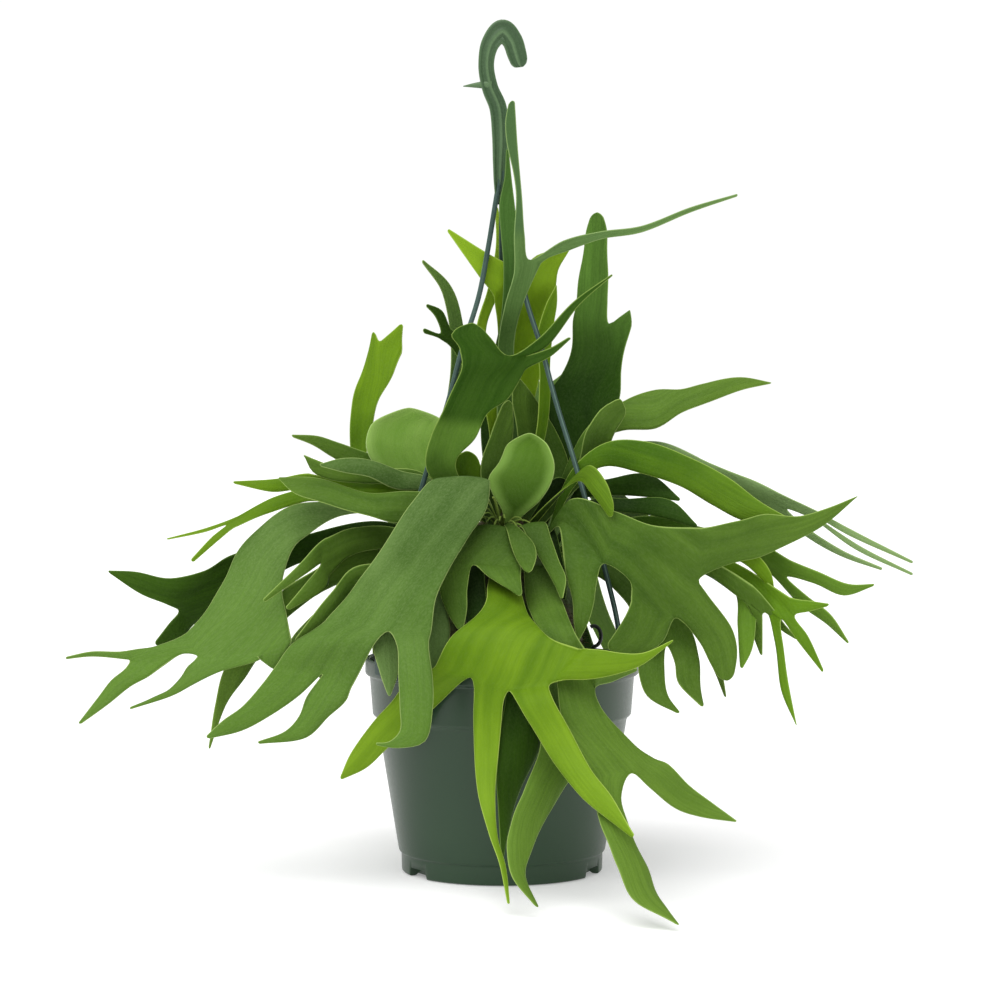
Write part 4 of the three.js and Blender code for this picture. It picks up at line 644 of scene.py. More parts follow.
@dataclass
class Surface:
    """Points in millimetres with the faces between them, and what a finish reads at each point."""

    points: Array
    faces: Array
    readings: dict[str, Array] = field(default_factory=dict)

    @staticmethod
    def joined(surfaces: Sequence[Surface]) -> Surface:
        """Joins surfaces into one.

        Args:
            surfaces: The surfaces, all with the readings of the first.

        Returns:
            The one surface.
        """
        starts = np.cumsum([0] + [len(surface.points) for surface in surfaces[:-1]])
        faces = np.vstack([surface.faces + start for surface, start in zip(surfaces, starts)])
        names = surfaces[0].readings
        readings = {name: np.concatenate([surface.readings[name] for surface in surfaces]) for name in names}
        return Surface(np.vstack([surface.points for surface in surfaces]), faces, readings)

    def marked(self, reading: str, values: Array | float) -> Surface:
        """Returns the surface with one more reading, the same all over or one value a point."""
        self.readings[reading] = np.full(len(self.points), values)
        return self

    def welded(self) -> Surface:
        """Makes points that coincide one.

        Returns:
            The surface in triangles, with slivers left out.
        """
        _, first, number = np.unique(np.round(self.points, 3), axis=0, return_index=True, return_inverse=True)
        faces = number.reshape(-1)[self.faces]
        faces = np.vstack([faces[:, [0, 1, 2]], faces[:, [0, 2, 3]]])
        a, b, c = faces.T
        whole = (a != b) & (b != c) & (c != a)
        readings = {name: values[first] for name, values in self.readings.items()}
        return Surface(self.points[first], faces[whole], readings)


def make_piece(
    name: str, surface: Surface, nodes: Sequence[str], material: bpy.types.Material
) -> None:
    """Puts a surface into the scene as one piece that rides on the root body.

    Args:
        name: The piece's name.
        surface: Its shape and readings.
        nodes: The CAD nodes that it stands for.
        material: Its finish.
    """
    mesh = bpy.data.meshes.new(name)
    mesh.from_pydata((surface.points * MM).tolist(), [], surface.faces.tolist())
    for reading, values in surface.readings.items():
        layer = mesh.attributes.new(reading, "FLOAT", "POINT")
        layer.data.foreach_set("value", values.astype(np.float32))
    mesh.polygons.foreach_set("use_smooth", np.ones(len(mesh.polygons), bool))
    mesh.update()
    piece = bpy.data.objects.new(name, mesh)
    bpy.context.scene.collection.objects.link(piece)
    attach(piece, ROOT)
    if nodes:
        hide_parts(*nodes)
    mesh.materials.append(material)
    log.info("%s: %d faces", name, len(surface.faces))


# Finishes ----------------------------------------


def linear(colour: Colour) -> tuple[float, ...]:
    """Returns a screen colour as the linear one that a shader takes, by the sRGB standard's curve."""
    levels = np.array(colour) / 255
    return (*np.where(levels <= 0.04045, levels / 12.92, ((levels + 0.055) / 1.055) ** 2.4).tolist(), 1.0)


@dataclass(frozen=True)
class Value:
    """One output of a shader, with the sums that a finish is written in."""

    shader: Shader
    socket: bpy.types.NodeSocket

    def sum(self, operation: str, *others: Value | float) -> Value:
        """Returns a Math node's result on this value and the others."""
        inputs = {place: other for place, other in enumerate((self, *others))}
        return self.shader.node("ShaderNodeMath", {"operation": operation}, inputs)

    def __add__(self, other: Value | float) -> Value:
        """Returns the sum."""
        return self.sum("ADD", other)

    def __mul__(self, other: Value | float) -> Value:
        """Returns the product."""
        return self.sum("MULTIPLY", other)

    def __sub__(self, other: Value | float) -> Value:
        """Returns the difference."""
        return self.sum("SUBTRACT", other)

    def __rsub__(self, other: float) -> Value:
        """Returns a number less this value."""
        return (self * -1.0) + other

    def clamped(self) -> Value:
        """Returns the value held between 0 and 1."""
        return self.sum("MAXIMUM", 0.0).sum("MINIMUM", 1.0)

    def stepped(self, low: float, high: float) -> Value:
        """Returns a smooth rise from 0 at low to 1 at high."""
        inputs = {"Value": self, "From Min": low, "From Max": high}
        return self.shader.node("ShaderNodeMapRange", {"interpolation_type": "SMOOTHSTEP"}, inputs)


class Shader:
    """One material on a Principled shader, and the one way in which its nodes are made."""

    def __init__(self, name: str) -> None:
        """Makes an empty material.

        Args:
            name: The material's name.
        """
        self.material = bpy.data.materials.new(name)
        self.material.use_nodes = True
        self.tree = self.material.node_tree
        self.surface = self.tree.nodes["Principled BSDF"]

    def node(self, kind: str, settings: dict[str, object], inputs: dict, output: int | str = 0) -> Value:
        """Adds one node.

        Args:
            kind: The node's type.
            settings: Its options, set first.
            inputs: What goes into its sockets, by name or place.
            output: The socket that comes out.

        Returns:
            The value of that output.
        """
        made = self.tree.nodes.new(kind)
        for option, choice in settings.items():
            setattr(made, option, choice)
        for place, value in inputs.items():
            self.feed(made.inputs[place], value)
        return Value(self, made.outputs[output])

    def feed(self, socket: bpy.types.NodeSocket, value: Value | float | tuple[float, ...]) -> None:
        """Links a value to a socket, or sets the socket to a plain one.

        Args:
            socket: The socket.
            value: What it takes.
        """
        if isinstance(value, Value):
            self.tree.links.new(value.socket, socket)
        else:
            socket.default_value = value

    def reading(self, name: str) -> Value:
        """Returns a reading that the mesh carries."""
        return self.node("ShaderNodeAttribute", {"attribute_name": name}, {}, "Fac")

    def place(self) -> Value:
        """Returns the point's own place on the object, in metres."""
        return self.node("ShaderNodeTexCoord", {}, {}, "Object")

    def noise(self, where: Value, scale: float, detail: float = 3.0, roughness: float = 0.5) -> Value:
        """Returns fractal noise around one half."""
        inputs = {"Vector": where, "Scale": scale, "Detail": detail, "Roughness": roughness}
        return self.node("ShaderNodeTexNoise", {}, inputs)

    def streaks(self, scales: Triple, detail: float, roughness: float = 0.5) -> Value:
        """Returns noise at its own scales across a blade, along it and from one shade to the next."""
        scaled = {k: self.reading(BLADE_READINGS[k]) * scale for k, scale in enumerate(scales)}
        return self.noise(self.node("ShaderNodeCombineXYZ", {}, scaled), 1.0, detail, roughness)

    def mixed(self, factor: Value | float, low: Value | tuple, high: Value | tuple) -> Value:
        """Returns a colour between low, at factor 0, and high, at factor 1."""
        inputs = {"Factor": factor, 6: low, 7: high}
        return self.node("ShaderNodeMix", {"data_type": "RGBA"}, inputs, 2)

    def bumped(self, height: Value, distance: float, strength: float) -> Value:
        """Returns a normal bent by a height, of that distance in metres."""
        inputs = {"Height": height, "Distance": distance, "Strength": strength}
        return self.node("ShaderNodeBump", {}, inputs, "Normal")

    def finish(self, **inputs: Value | float | tuple[float, ...]) -> bpy.types.Material:
        """Feeds the shader's own sockets.

        Args:
            **inputs: What each takes, named with underscores for spaces.

        Returns:
            The material.
        """
        for name, value in inputs.items():
            self.feed(self.surface.inputs[name.replace("_", " ")], value)
        return self.material


@dataclass(frozen=True)
class Leaf:
    """A frond's skin: green over a darker ground, with lengthwise veins, pale felt and a pale rim."""

    name: str
    ground: Colour
    face: Colour
    tip: Colour
    rim: Colour
    felt: float
    roughness: float
    vein: float = 0.5
    gloss: float = 0.07
    far: Pair = (70.0, 300.0)
    margin: float = 0.0
    stem: Colour | None = None

    def material(self) -> bpy.types.Material:
        """Builds the material.

        The colour goes from ground to face with slow noise, broad bands and the frond's own shade, and on to
        the tip colour far from the root. The root is darker, a painted shade where the blades crowd at the
        crown.
        Veins are noise drawn out along the blade.
        Wrinkles and the finest noise lift the colour to the felt's grey-green. A margin is the tip colour,
        within about a centimetre of the edge, and the rim colour lies within a millimetre of it. The stem
        colour lies where the blade climbs the hook.

        Returns:
            The material.
        """
        shader = Shader(self.name)
        where = shader.place()
        along, edge, shade = (shader.reading(name) for name in ("along", "edge", "shade"))
        slow = shader.noise(where, LEAF_SLOW, 2.0)
        patch = shader.noise(where, LEAF_PATCH)
        bands = shader.streaks(LEAF_BANDS, 2.0)
        veins = shader.streaks(LEAF_VEINS, 4.0, 0.72)
        wrinkle = shader.streaks(LEAF_WRINKLES, 5.0, 0.75)
        fuzz = shader.noise(where, LEAF_FUZZ, 2.0, 0.7)
        mottled = (slow * 1.6 + patch * 0.6 + bands * 1.5 + shade * 0.4 - 1.52).clamped()
        far = (along.stepped(*self.far) * (bands * 0.6 + 0.55)).clamped()
        root = 1.0 - along.stepped(*ROOT_SHADE_FADE)
        lines = (veins.stepped(0.40, 0.62) * self.vein).clamped()
        light = (wrinkle.stepped(0.38, 0.72) * 0.7 + fuzz * 0.5 - 0.15).clamped() * self.felt
        layers = [
            (mottled, self.face),
            (far, self.tip),
            # painted shade: near the root the colour darkens to three quarters of the ground colour
            (root * 0.75, tuple(level * 3 // 4 for level in self.ground)),
            (lines * 0.5, self.ground),
            (light * (1.0 - far * 0.5) * 0.34, FELT_GREY),
            ((1.0 - edge.stepped(*MARGIN_FADE)) * self.margin, self.tip),
        ]
        if self.stem:
            aside, up = (shader.node("ShaderNodeSeparateXYZ", {}, {0: where}, axis) for axis in "XZ")
            layers.append((up.stepped(*STEM_UP) * (1.0 - aside.stepped(*STEM_ASIDE)) * 0.85, self.stem))
        layers.append(((1.0 - edge.stepped(*RIM_FADE)) * 0.7, self.rim))
        green = linear(self.ground)
        for factor, colour in layers:
            green = shader.mixed(factor, green, linear(colour))
        fluff = wrinkle * (0.4 + self.felt * 0.6) + fuzz * (0.1 + self.felt * 0.25)
        return shader.finish(
            Base_Color=green,
            Roughness=(patch * 0.2 + (self.roughness - 0.1)).clamped(),
            Normal=shader.bumped(veins * 0.8 + fluff + patch * 1.6, LEAF_RELIEF, 0.55),
            Specular_IOR_Level=self.gloss,
        )


# Each leaf's colours are those of its ground, face, tip and rim. Then come its felt and its roughness.
LEAVES = {
    Tone.FELT: Leaf("leaf_felt", (62, 92, 34), (101, 130, 68), (88, 124, 38), (166, 188, 112), 1.0, 0.66),
    Tone.MID: Leaf("leaf_mid", (50, 80, 12), (86, 118, 36), (100, 132, 44), (158, 184, 98), 0.45, 0.56),
    Tone.BRIGHT: Leaf(
        "leaf_bright", (80, 114, 6), (112, 146, 22), (124, 158, 36), (176, 202, 96), 0.25, 0.5),
    Tone.LIME: Leaf("leaf_lime", (62, 98, 2), (96, 132, 8), (112, 146, 24), (168, 196, 90), 0.3, 0.52),
    # The dark tone is partly the fronds' own deep green, partly painted shade for fronds that lie deep among
    # the others.
    Tone.DARK: Leaf("leaf_dark", (18, 44, 1), (38, 68, 4), (58, 90, 14), (118, 148, 70), 0.25, 0.58),
    Tone.SHIELD: Leaf(
        "leaf_shield", (62, 100, 14), (96, 134, 40), (134, 170, 80), (170, 196, 116), 0.3, 0.46,
        vein=0.15, margin=0.6),
}

# Fronds whose colours, or how these change along them, aren't those of their tone.
OWN_LEAVES = {
    "swoop": Leaf(
        "leaf_swoop", (46, 78, 20), (76, 110, 44), (98, 130, 72), (150, 178, 110), 0.6, 0.56,
        stem=(68, 98, 56)),
    "shield_left": Leaf(
        "leaf_shield_left", (100, 140, 46), (134, 168, 78), (148, 180, 96), (176, 200, 130), 0.5, 0.5,
        vein=0.15, margin=0.5),
    # Its ground is near black: painted shade where its stem runs among the shaded leaves at the crown.
    "right_small_bright": Leaf(
        "leaf_small_bright", (16, 40, 1), (86, 122, 14), (98, 132, 26), (150, 176, 76), 0.25, 0.52,
        far=(30.0, 70.0)),
    # Its far part, the inside of the cup, is near black: partly its own dark green, partly painted shade in
    # the hollow.
    "cupped": Leaf(
        "leaf_cupped", (66, 100, 26), (92, 128, 42), (34, 68, 1), (140, 166, 80), 0.3, 0.56,
        far=(98.0, 112.0)),
    # Like the dark tone: near black low down, partly own deep green and partly painted shade there; lighter
    # far along.
    "right_tall": Leaf(
        "leaf_tall", (22, 50, 1), (38, 70, 3), (92, 132, 50), (132, 162, 80), 0.25, 0.58,
        far=(120.0, 235.0)),
    # Painted light: these two are lighter than their own yellow-green, to make up for the shade that they
    # stand in.
    "back_bright": Leaf(
        "leaf_back_bright", (96, 134, 8), (130, 166, 22), (134, 168, 34), (170, 198, 90), 0.3, 0.5, 0.15),
    "back_strip": Leaf(
        "leaf_back_strip", (96, 134, 10), (136, 172, 30), (150, 184, 48), (178, 204, 96), 0.3, 0.5, 0.15),
    "right_arching": Leaf(
        "leaf_arching", (56, 92, 4), (92, 130, 12), (108, 144, 34), (168, 196, 96), 0.35, 0.52,
        far=(120.0, 260.0)),
    "right_low_bright": Leaf(
        "leaf_low_bright", (56, 92, 10), (88, 124, 30), (104, 140, 44), (160, 188, 98), 0.4, 0.54),
    "right_hanging": Leaf(
        "leaf_hanging", (60, 96, 8), (92, 130, 26), (110, 148, 46), (160, 188, 98), 0.4, 0.54),
    "right_under": Leaf(
        "leaf_under", (58, 94, 4), (90, 128, 12), (100, 138, 28), (160, 188, 90), 0.35, 0.52),
    "right_pale": Leaf(
        "leaf_pale", (96, 126, 66), (126, 154, 98), (128, 156, 98), (168, 190, 130), 0.8, 0.62),
    # Like the dark tone: near black low down, partly own deep green and partly painted shade there; lighter
    # far along.
    "back_centre": Leaf(
        "leaf_back_centre", (26, 58, 2), (46, 84, 12), (66, 102, 40), (112, 142, 76), 0.4, 0.56,
        far=(150.0, 220.0)),
}


@dataclass(frozen=True)
class Moulded:
    """Moulded green plastic: satin, with slow flow marks, a fine grain and paler crests, a painted highlight.
    """

    name: str
    colour: Colour
    pale_and_highlight: Colour
    roughness: float
    grain: float = 0.25
    wear_and_highlight: float = 0.0
    gloss: float = 0.5

    def material(self) -> bpy.types.Material:
        """Builds the material: paler in slow flow marks and, as a painted highlight, on its crests, and rough
        and grained by finer noise.

        Returns:
            The material.
        """
        shader = Shader(self.name)
        where = shader.place()
        slow = shader.noise(where, PLASTIC_SLOW)
        fine = shader.noise(where, PLASTIC_FINE)
        grain = shader.noise(where, PLASTIC_GRAIN, 2.0)
        # Painted highlight on crests, added to pale flow marks from slow and fine noise.
        crest_highlight = shader.reading("wear_and_highlight") * self.wear_and_highlight
        pale_and_highlight = (slow.stepped(0.35, 0.8) * (0.5 - self.wear_and_highlight * 0.3) + fine * 0.16 + crest_highlight * 0.75).clamped()
        return shader.finish(
            Base_Color=shader.mixed(pale_and_highlight, linear(self.colour), linear(self.pale_and_highlight)),
            Roughness=(fine * 0.16 + slow * 0.1 + (self.roughness - 0.13)).clamped(),
            Normal=shader.bumped(grain * 0.6 + fine * 0.5, PLASTIC_RELIEF, self.grain),
            Specular_IOR_Level=self.gloss,
        )


@dataclass(frozen=True)
class Fibre:
    """Old root felt and bark mix: brown flecks and strands over a dark ground, with some green fuzz."""

    name: str
    dark: Colour
    light: Colour
    moss: Colour
    green: float
    scale: float

    def material(self) -> bpy.types.Material:
        """Builds the material: fine noise for fibres, cells for flecks, slow noise for the green.

        Returns:
            The material.
        """
        shader = Shader(self.name)
        where = shader.place()
        fibre = shader.noise(where, self.scale, 6.0, 0.7)
        flecks = shader.node("ShaderNodeTexVoronoi", {}, {"Vector": where, "Scale": self.scale * 0.8})
        slow = shader.noise(where, FIBRE_SLOW)
        bright = (fibre * 0.9 + flecks * 0.4 - 0.3).clamped()
        brown = shader.mixed(bright, linear(self.dark), linear(self.light))
        mossy = (slow.stepped(0.4, 0.62) * self.green).clamped()
        return shader.finish(
            Base_Color=shader.mixed(mossy, brown, linear(self.moss)),
            Roughness=(fibre * 0.2 + 0.78).clamped(),
            Normal=shader.bumped(fibre * 0.7 + flecks * 0.6, FIBRE_RELIEF, 0.8),
        )


POT_PLASTIC = Moulded("pot_plastic", (28, 56, 32), (44, 70, 45), 0.34, 0.18, gloss=0.42)
# The hook's and the strands' pale colours lie on their crests as painted highlights.
HOOK_PLASTIC = Moulded("hook_plastic", (44, 70, 42), (124, 156, 108), 0.42, 0.35, 1.0, 0.3)
STRAND_PLASTIC = Moulded("strand_plastic", (30, 50, 46), (118, 146, 134), 0.4, 0.2, 0.9, 0.2)
LOOP_PLASTIC = Moulded("loop_plastic", (20, 24, 22), (58, 66, 60), 0.4)
BARK_MIX = Fibre("bark_mix", (30, 22, 16), (92, 70, 50), (58, 74, 34), 0.35, 190.0)
# Its dark ground and moss are partly the old fronds' own brown-green, partly painted shade around the crown.
ROOT_FELT = Fibre("root_felt", (30, 26, 10), (94, 84, 40), (52, 76, 20), 1.0, 240.0)
ROOT_HAIR = Fibre("root_hair", (58, 48, 20), (132, 116, 58), (92, 104, 40), 0.6, 300.0)
STALK = Fibre("stalk", (104, 124, 40), (140, 160, 70), (92, 120, 36), 0.8, 160.0)


# Blades ----------------------------------------


def elevation_points(across: Array, up: Array, near: Array) -> Array:
    """Slides points of the front elevation along the line of sight, to stand their own distance nearer.

    Args:
        across: How far to the right each point is seen.
        up: How high it is seen.
        near: How much nearer than the axis it stands.

    Returns:
        The points in space.
    """
    scale = 1 - near / VIEW_DISTANCE
    x = EYE_ACROSS + (across - EYE_ACROSS) * scale
    return np.stack([x, -near, EYE_HEIGHT + (up - EYE_HEIGHT) * scale], axis=-1)


def stations_of(part: Part) -> Array:
    """Returns the stations of a strip and of all the parts that follow it."""
    return np.vstack([part.stations, *(stations_of(child) for child in part.parts)])


@dataclass(frozen=True)
class Elevation:
    """Reads stations as the front elevation's left edge, right edge and nearness, for a frond that leans."""

    lean: Pair
    root: Pair
    centre: Pair

    @classmethod
    def of(cls, one: Frond) -> Elevation:
        """Makes the elevation that reads one frond.

        Args:
            one: The frond.

        Returns:
            Its elevation.
        """
        stations = stations_of(one.blade)
        middles = (stations[:, 0:2] + stations[:, 2:4]) / 2
        return cls(one.lean, tuple(middles[0]), tuple(middles[1:].mean(axis=0)))

    def place(self, across: Array, up: Array, near: Array) -> Array:
        """Places points, each nearer by its lean.

        The lean's slopes across and up from the blade's middle are held to a reach, and grow from the root.

        Args:
            across: How far to the right each point is seen.
            up: How high it is seen.
            near: How much nearer than the axis it stands, before the lean.

        Returns:
            The points in space.
        """
        slope = self.lean[0] * (across - self.centre[0]) + self.lean[1] * (up - self.centre[1])
        share = np.clip(np.hypot(across - self.root[0], up - self.root[1]) / LEAN_GROWTH, 0, 1)
        return elevation_points(across, up, near + eased(share) * LEAN_REACH * np.tanh(slope / LEAN_REACH))

    def edges(self, stations: Array) -> tuple[Array, Array]:
        """Returns the left and the right edge points."""
        left = self.place(stations[:, 0], stations[:, 1], stations[:, 4])
        return left, self.place(stations[:, 2], stations[:, 3], stations[:, 4])


@dataclass(frozen=True)
class UprightPlane:
    """Reads stations as out, up, offset and half-width in an upright plane through the axis."""

    azimuth: float
    reach: float
    lift: float

    def place(self, out: Array, up: Array, aside: Array) -> Array:
        """Returns points from how far out, how high and how far aside they are."""
        straight = np.stack([out * self.reach, aside, up + self.lift], axis=-1)
        return turned(straight, math.radians(self.azimuth))

    def edges(self, stations: Array) -> tuple[Array, Array]:
        """Returns the left and the right edge points."""
        out, up, aside, half = stations.T
        return self.place(out, up, aside - half), self.place(out, up, aside + half)


@dataclass(frozen=True)
class Row:
    """The last row of a strip, or a stretch of it, that a further part grows from."""

    numbers: Array
    points: Array
    across: Array
    edge: Array
    along: float
    leads: tuple[Array, Array]

    def stretch(self, first: int, last: int, leads: tuple[Array, Array]) -> Row:
        """Returns a stretch of the row, with the points that lead the curves of its own two edges."""
        some = [values[first : last + 1] for values in (self.numbers, self.points, self.across, self.edge)]
        return Row(*some, self.along, leads)


@dataclass
class Strip:
    """One strip's rows of points, and how far across, along and inside the blade's edge each lies."""

    points: Array
    across: Array
    along: Array
    edge: Array

    def grow_from(self, start: Row) -> None:
        """Lets the first rows take over gradually from the row that they grow from.

        Args:
            start: That row.
        """
        gone = self.along - self.along[0]
        fade = np.clip(1 - gone / ROW_FADE, 0, 1)[:, None] ** 2
        self.points = self.points + fade[..., None] * (start.points - self.points[0])[None]
        self.across = self.across + fade * (start.across - self.across[0])[None]
        near = np.clip(1 - gone / EDGE_FADE, 0, 1)[:, None]
        self.edge = self.edge * (1 - near) + near * np.minimum(start.edge[None], self.edge + EDGE_STEP)

    def bend(self, knots: Array, ends: Array, places: Array) -> None:
        """Bends the last span so that the last row runs straight from sinus to sinus.

        Args:
            knots: The left edge's end, the sinuses and the right edge's end.
            ends: The column that each of them falls on.
            places: Where the rows lie along the edge curves, in spans.
        """
        column = np.arange(ends[-1] + 1)
        target = np.stack([np.interp(column, ends, knots[:, axis]) for axis in range(3)], axis=1)
        last = places[-1]
        weight = eased(np.clip((places - (last - 1 - BEND_START)) / (1 + BEND_START), 0, 1))
        self.points = self.points + weight[:, None, None] * (target - self.points[-1])[None]
        to_sinus = np.min(np.abs(column[:, None] - ends[None, 1:-1]), axis=1) / FINE_COLUMNS
        lip = np.minimum(self.edge, SINUS_EDGE + SINUS_SLOPE * to_sinus[None, :])
        tail = np.clip((places - (last - SINUS_SPAN)) / SINUS_SPAN, 0, 1)[:, None]
        self.edge = self.edge * (1 - tail) + lip * tail


@dataclass
class Sheet:
    """The middle surface of a blade, laid strip by strip."""

    plane: Elevation | UprightPlane
    seed: float
    points: list[Array] = field(default_factory=list)
    faces: list[Array] = field(default_factory=list)
    across: list[Array] = field(default_factory=list)
    along: list[Array] = field(default_factory=list)
    edge: list[Array] = field(default_factory=list)
    count: int = 0

    def add(self, strip: Strip, first: int) -> Array:
        """Adds a strip's rows of points and what a finish reads there.

        Args:
            strip: The strip.
            first: The first of its rows that is new.

        Returns:
            The numbers of the points.
        """
        points = strip.points[first:]
        numbers = self.count + np.arange(points.shape[0] * points.shape[1]).reshape(points.shape[:2])
        self.points.append(points.reshape(-1, 3))
        self.across.append(strip.across[first:].reshape(-1))
        self.along.append(np.repeat(strip.along[first:], points.shape[1]))
        self.edge.append(strip.edge[first:].reshape(-1))
        self.count += numbers.size
        return numbers

    def lay(self, part: Part, start: Row | None = None) -> None:
        """Lays one strip and then the parts that it splits into.

        Both edges are smooth curves through the stations. A row goes straight from edge to edge with a
        shallow cup. Toward a fork the rows bend, more and more, to run through the sinuses.

        Args:
            part: The strip.
            start: The row that it grows from, or None at the root.
        """
        lefts, rights = self.plane.edges(part.stations)
        if start is not None:
            lefts = np.vstack([start.leads[0], start.points[0], lefts])
            rights = np.vstack([start.leads[1], start.points[-1], rights])
        places = row_places(lefts, rights, 0 if start is None else 1, rounded=not part.parts)
        left, right = smooth_curve(lefts, places), smooth_curve(rights, places)
        middle = (left + right) / 2
        if not part.parts:
            kept = rounded_end(middle, np.linalg.norm(rights[-1] - lefts[-1]) / 2)[:, None]
            left, right = middle + (left - middle) * kept, middle + (right - middle) * kept
        strip = self.filled(left, right, middle, part.columns, start)
        if start is not None:
            strip.grow_from(start)
        if part.parts:
            knots = np.vstack([left[-1], self.plane.place(*part.sinuses.T), right[-1]])
            ends = np.cumsum([0] + [child.columns * FINE_COLUMNS for child in part.parts])
            strip.bend(knots, ends, places)
        numbers = self.add(strip, 0 if start is None else 1)
        if start is not None:
            numbers = np.vstack([start.numbers, numbers])
        self.faces.append(quads(numbers))
        leads = (lefts[-2], rights[-2])
        last = Row(numbers[-1], strip.points[-1], strip.across[-1], strip.edge[-1], strip.along[-1], leads)
        self.lay_children(part, last)

    def filled(self, left: Array, right: Array, middle: Array, columns: int, start: Row | None) -> Strip:
        """Fills the stretch between two edges with rows, cupped across and rippled along.

        Args:
            left: The left edge, one point a row.
            right: The right edge.
            middle: The line between them.
            columns: The strip's own columns.
            start: The row that it grows from, or None at the root.

        Returns:
            The strip. Its across reading runs on from the row that it grows from, as veins do.
        """
        share = np.linspace(0, 1, columns * FINE_COLUMNS + 1)
        rise = unit(np.cross(right - left, unit(np.gradient(middle, axis=0))))[:, None]
        width = np.linalg.norm(right - left, axis=1)[:, None]
        along = np.concatenate([[0.0], np.cumsum(np.linalg.norm(np.diff(middle, axis=0), axis=1))])
        across = share * width
        if start is not None:
            along = start.along + along
            across = (start.across[0] + start.across[-1]) / 2 + (share - 0.5) * width
        cup = 4 * share * (1 - share) * BLADE_CUP
        points = left[:, None] + (right - left)[:, None] * share[:, None]
        points = points - rise * (cup * width)[..., None]
        points = points + rise * self.ripple(share, width, along[:, None])[..., None]
        return Strip(points, across, along, np.minimum(share, 1 - share) * width)

    def ripple(self, share: Array, width: Array, run: Array) -> Array:
        """Works out a gentle lift along the blade, stronger at its edges and nothing at its root and tip.

        It is a sum of two sines along the blade, each shifted across it.

        Args:
            share: How far across each column is, from 0 to 1.
            width: How wide each row is.
            run: How far along it is.

        Returns:
            The lift of each row's points.
        """
        side = 2 * share - 1
        long = np.sin(run / LONG_WAVE + self.seed + LONG_SHIFT * side)
        short = np.sin(run / SHORT_WAVE + SHORT_SEED * self.seed - SHORT_SHIFT * side)
        hold = np.clip(run / RIPPLE_ROOT, 0, 1) * np.clip(width / RIPPLE_WIDTH, 0, 1)
        return RIPPLE * (long + SHORT_SHARE * short) * hold * (RIPPLE_MIDDLE + RIPPLE_SIDES * side**2)

    def lay_children(self, part: Part, row: Row) -> None:
        """Lays the parts that a strip splits into, each from its own stretch of the last row.

        An edge's curve is led in by the neighbouring part's first station, or by the strip's own edge.

        Args:
            part: The strip that splits.
            row: Its last row, with its own edges' last stations but one as leads.
        """
        firsts = [self.plane.edges(child.stations[:1]) for child in part.parts]
        before = [row.leads[0], *(right[0] for _, right in firsts)]
        after = [*(left[0] for left, _ in firsts[1:]), row.leads[1]]
        first = 0
        for child, leads in zip(part.parts, zip(before, after)):
            last = first + child.columns * FINE_COLUMNS
            self.lay(child, row.stretch(first, last, leads))
            first = last

    def thickened(self) -> Surface:
        """Gives the sheet its thickness, full in the middle and thin at the rim, and closes it.

        Returns:
            The closed blade.
        """
        points, faces = np.vstack(self.points), np.vstack(self.faces)
        named = (("across", self.across), ("along", self.along), ("edge", self.edge))
        readings = {name: np.concatenate(values) for name, values in named}
        normals = np.zeros_like(points)
        a, b, c, d = (points[numbers] for numbers in faces.T)
        facing = np.cross(c - a, d - b)
        for corner in range(4):
            np.add.at(normals, faces[:, corner], facing)
        body = np.clip(readings["edge"] / RIM_TAPER, 0, 1)
        half = (BLADE_RIM + (BLADE_HEART - BLADE_RIM) * np.sqrt(body * (2 - body))) / 2
        lift = unit(normals) * half[:, None]
        sides = np.vstack([faces[:, [0, 1]], faces[:, [1, 2]], faces[:, [2, 3]], faces[:, [3, 0]]])
        keys = np.sort(sides, axis=1) @ np.array([len(points), 1])
        _, place, times = np.unique(keys, return_index=True, return_counts=True)
        rim = sides[place[times == 1]]
        shift = len(points)
        walls = np.stack([rim[:, 1], rim[:, 0], rim[:, 0] + shift, rim[:, 1] + shift], axis=1)
        doubled = {name: np.concatenate([values, values]) for name, values in readings.items()}
        both = np.vstack([points + lift, points - lift])
        return Surface(both, np.vstack([faces, faces[:, ::-1] + shift, walls]), doubled)


def row_places(lefts: Array, rights: Array, lead: int, rounded: bool) -> Array:
    """Works out where along the edge curves the rows go.

    They lie about one every fine row. Toward a rounded tip they close up as a cosine does.

    Args:
        lefts: The left edge's stations.
        rights: The right edge's stations.
        lead: The station that the rows start from, 1 where the first only leads the curve in.
        rounded: Whether the strip ends in a rounded tip.

    Returns:
        The places, in spans between stations.
    """
    middle = (lefts + rights) / 2
    lengths = np.linalg.norm(np.diff(middle, axis=0), axis=1)[lead:]
    steps = np.maximum(2, np.round(lengths / FINE_ROW).astype(int))
    body = np.concatenate([lead + k + np.arange(count) / count for k, count in enumerate(steps)])
    end = lead + len(steps)
    if not rounded:
        return np.append(body, end)
    width = np.linalg.norm(rights[-1] - lefts[-1])
    reach = min(width / 2 / lengths[-1], TIP_REACH)
    turn = np.linspace(0, np.pi / 2, max(TIP_ROWS, int(width / TIP_ROW)) + 1)
    return np.concatenate([body[body < end - reach * TIP_GAP], end - reach * (1 - np.sin(turn))])


def rounded_end(middle: Array, half: float) -> Array:
    """Works out how much of its width each row keeps for the tip to end in a half circle.

    A row at a distance d from the end keeps the square root of 1 - (1 - d / half) squared.

    Args:
        middle: The strip's middle line, one point a row.
        half: The half circle's radius.

    Returns:
        The share of the width that each row keeps.
    """
    steps = np.linalg.norm(np.diff(middle, axis=0), axis=1)
    from_end = np.concatenate([np.cumsum(steps[::-1])[::-1], [0.0]])
    inward = np.clip(1 - from_end / max(half, NEARLY_NOTHING), 0, 1)
    return np.maximum(np.sqrt(1 - inward**2), TIP_LEAST)


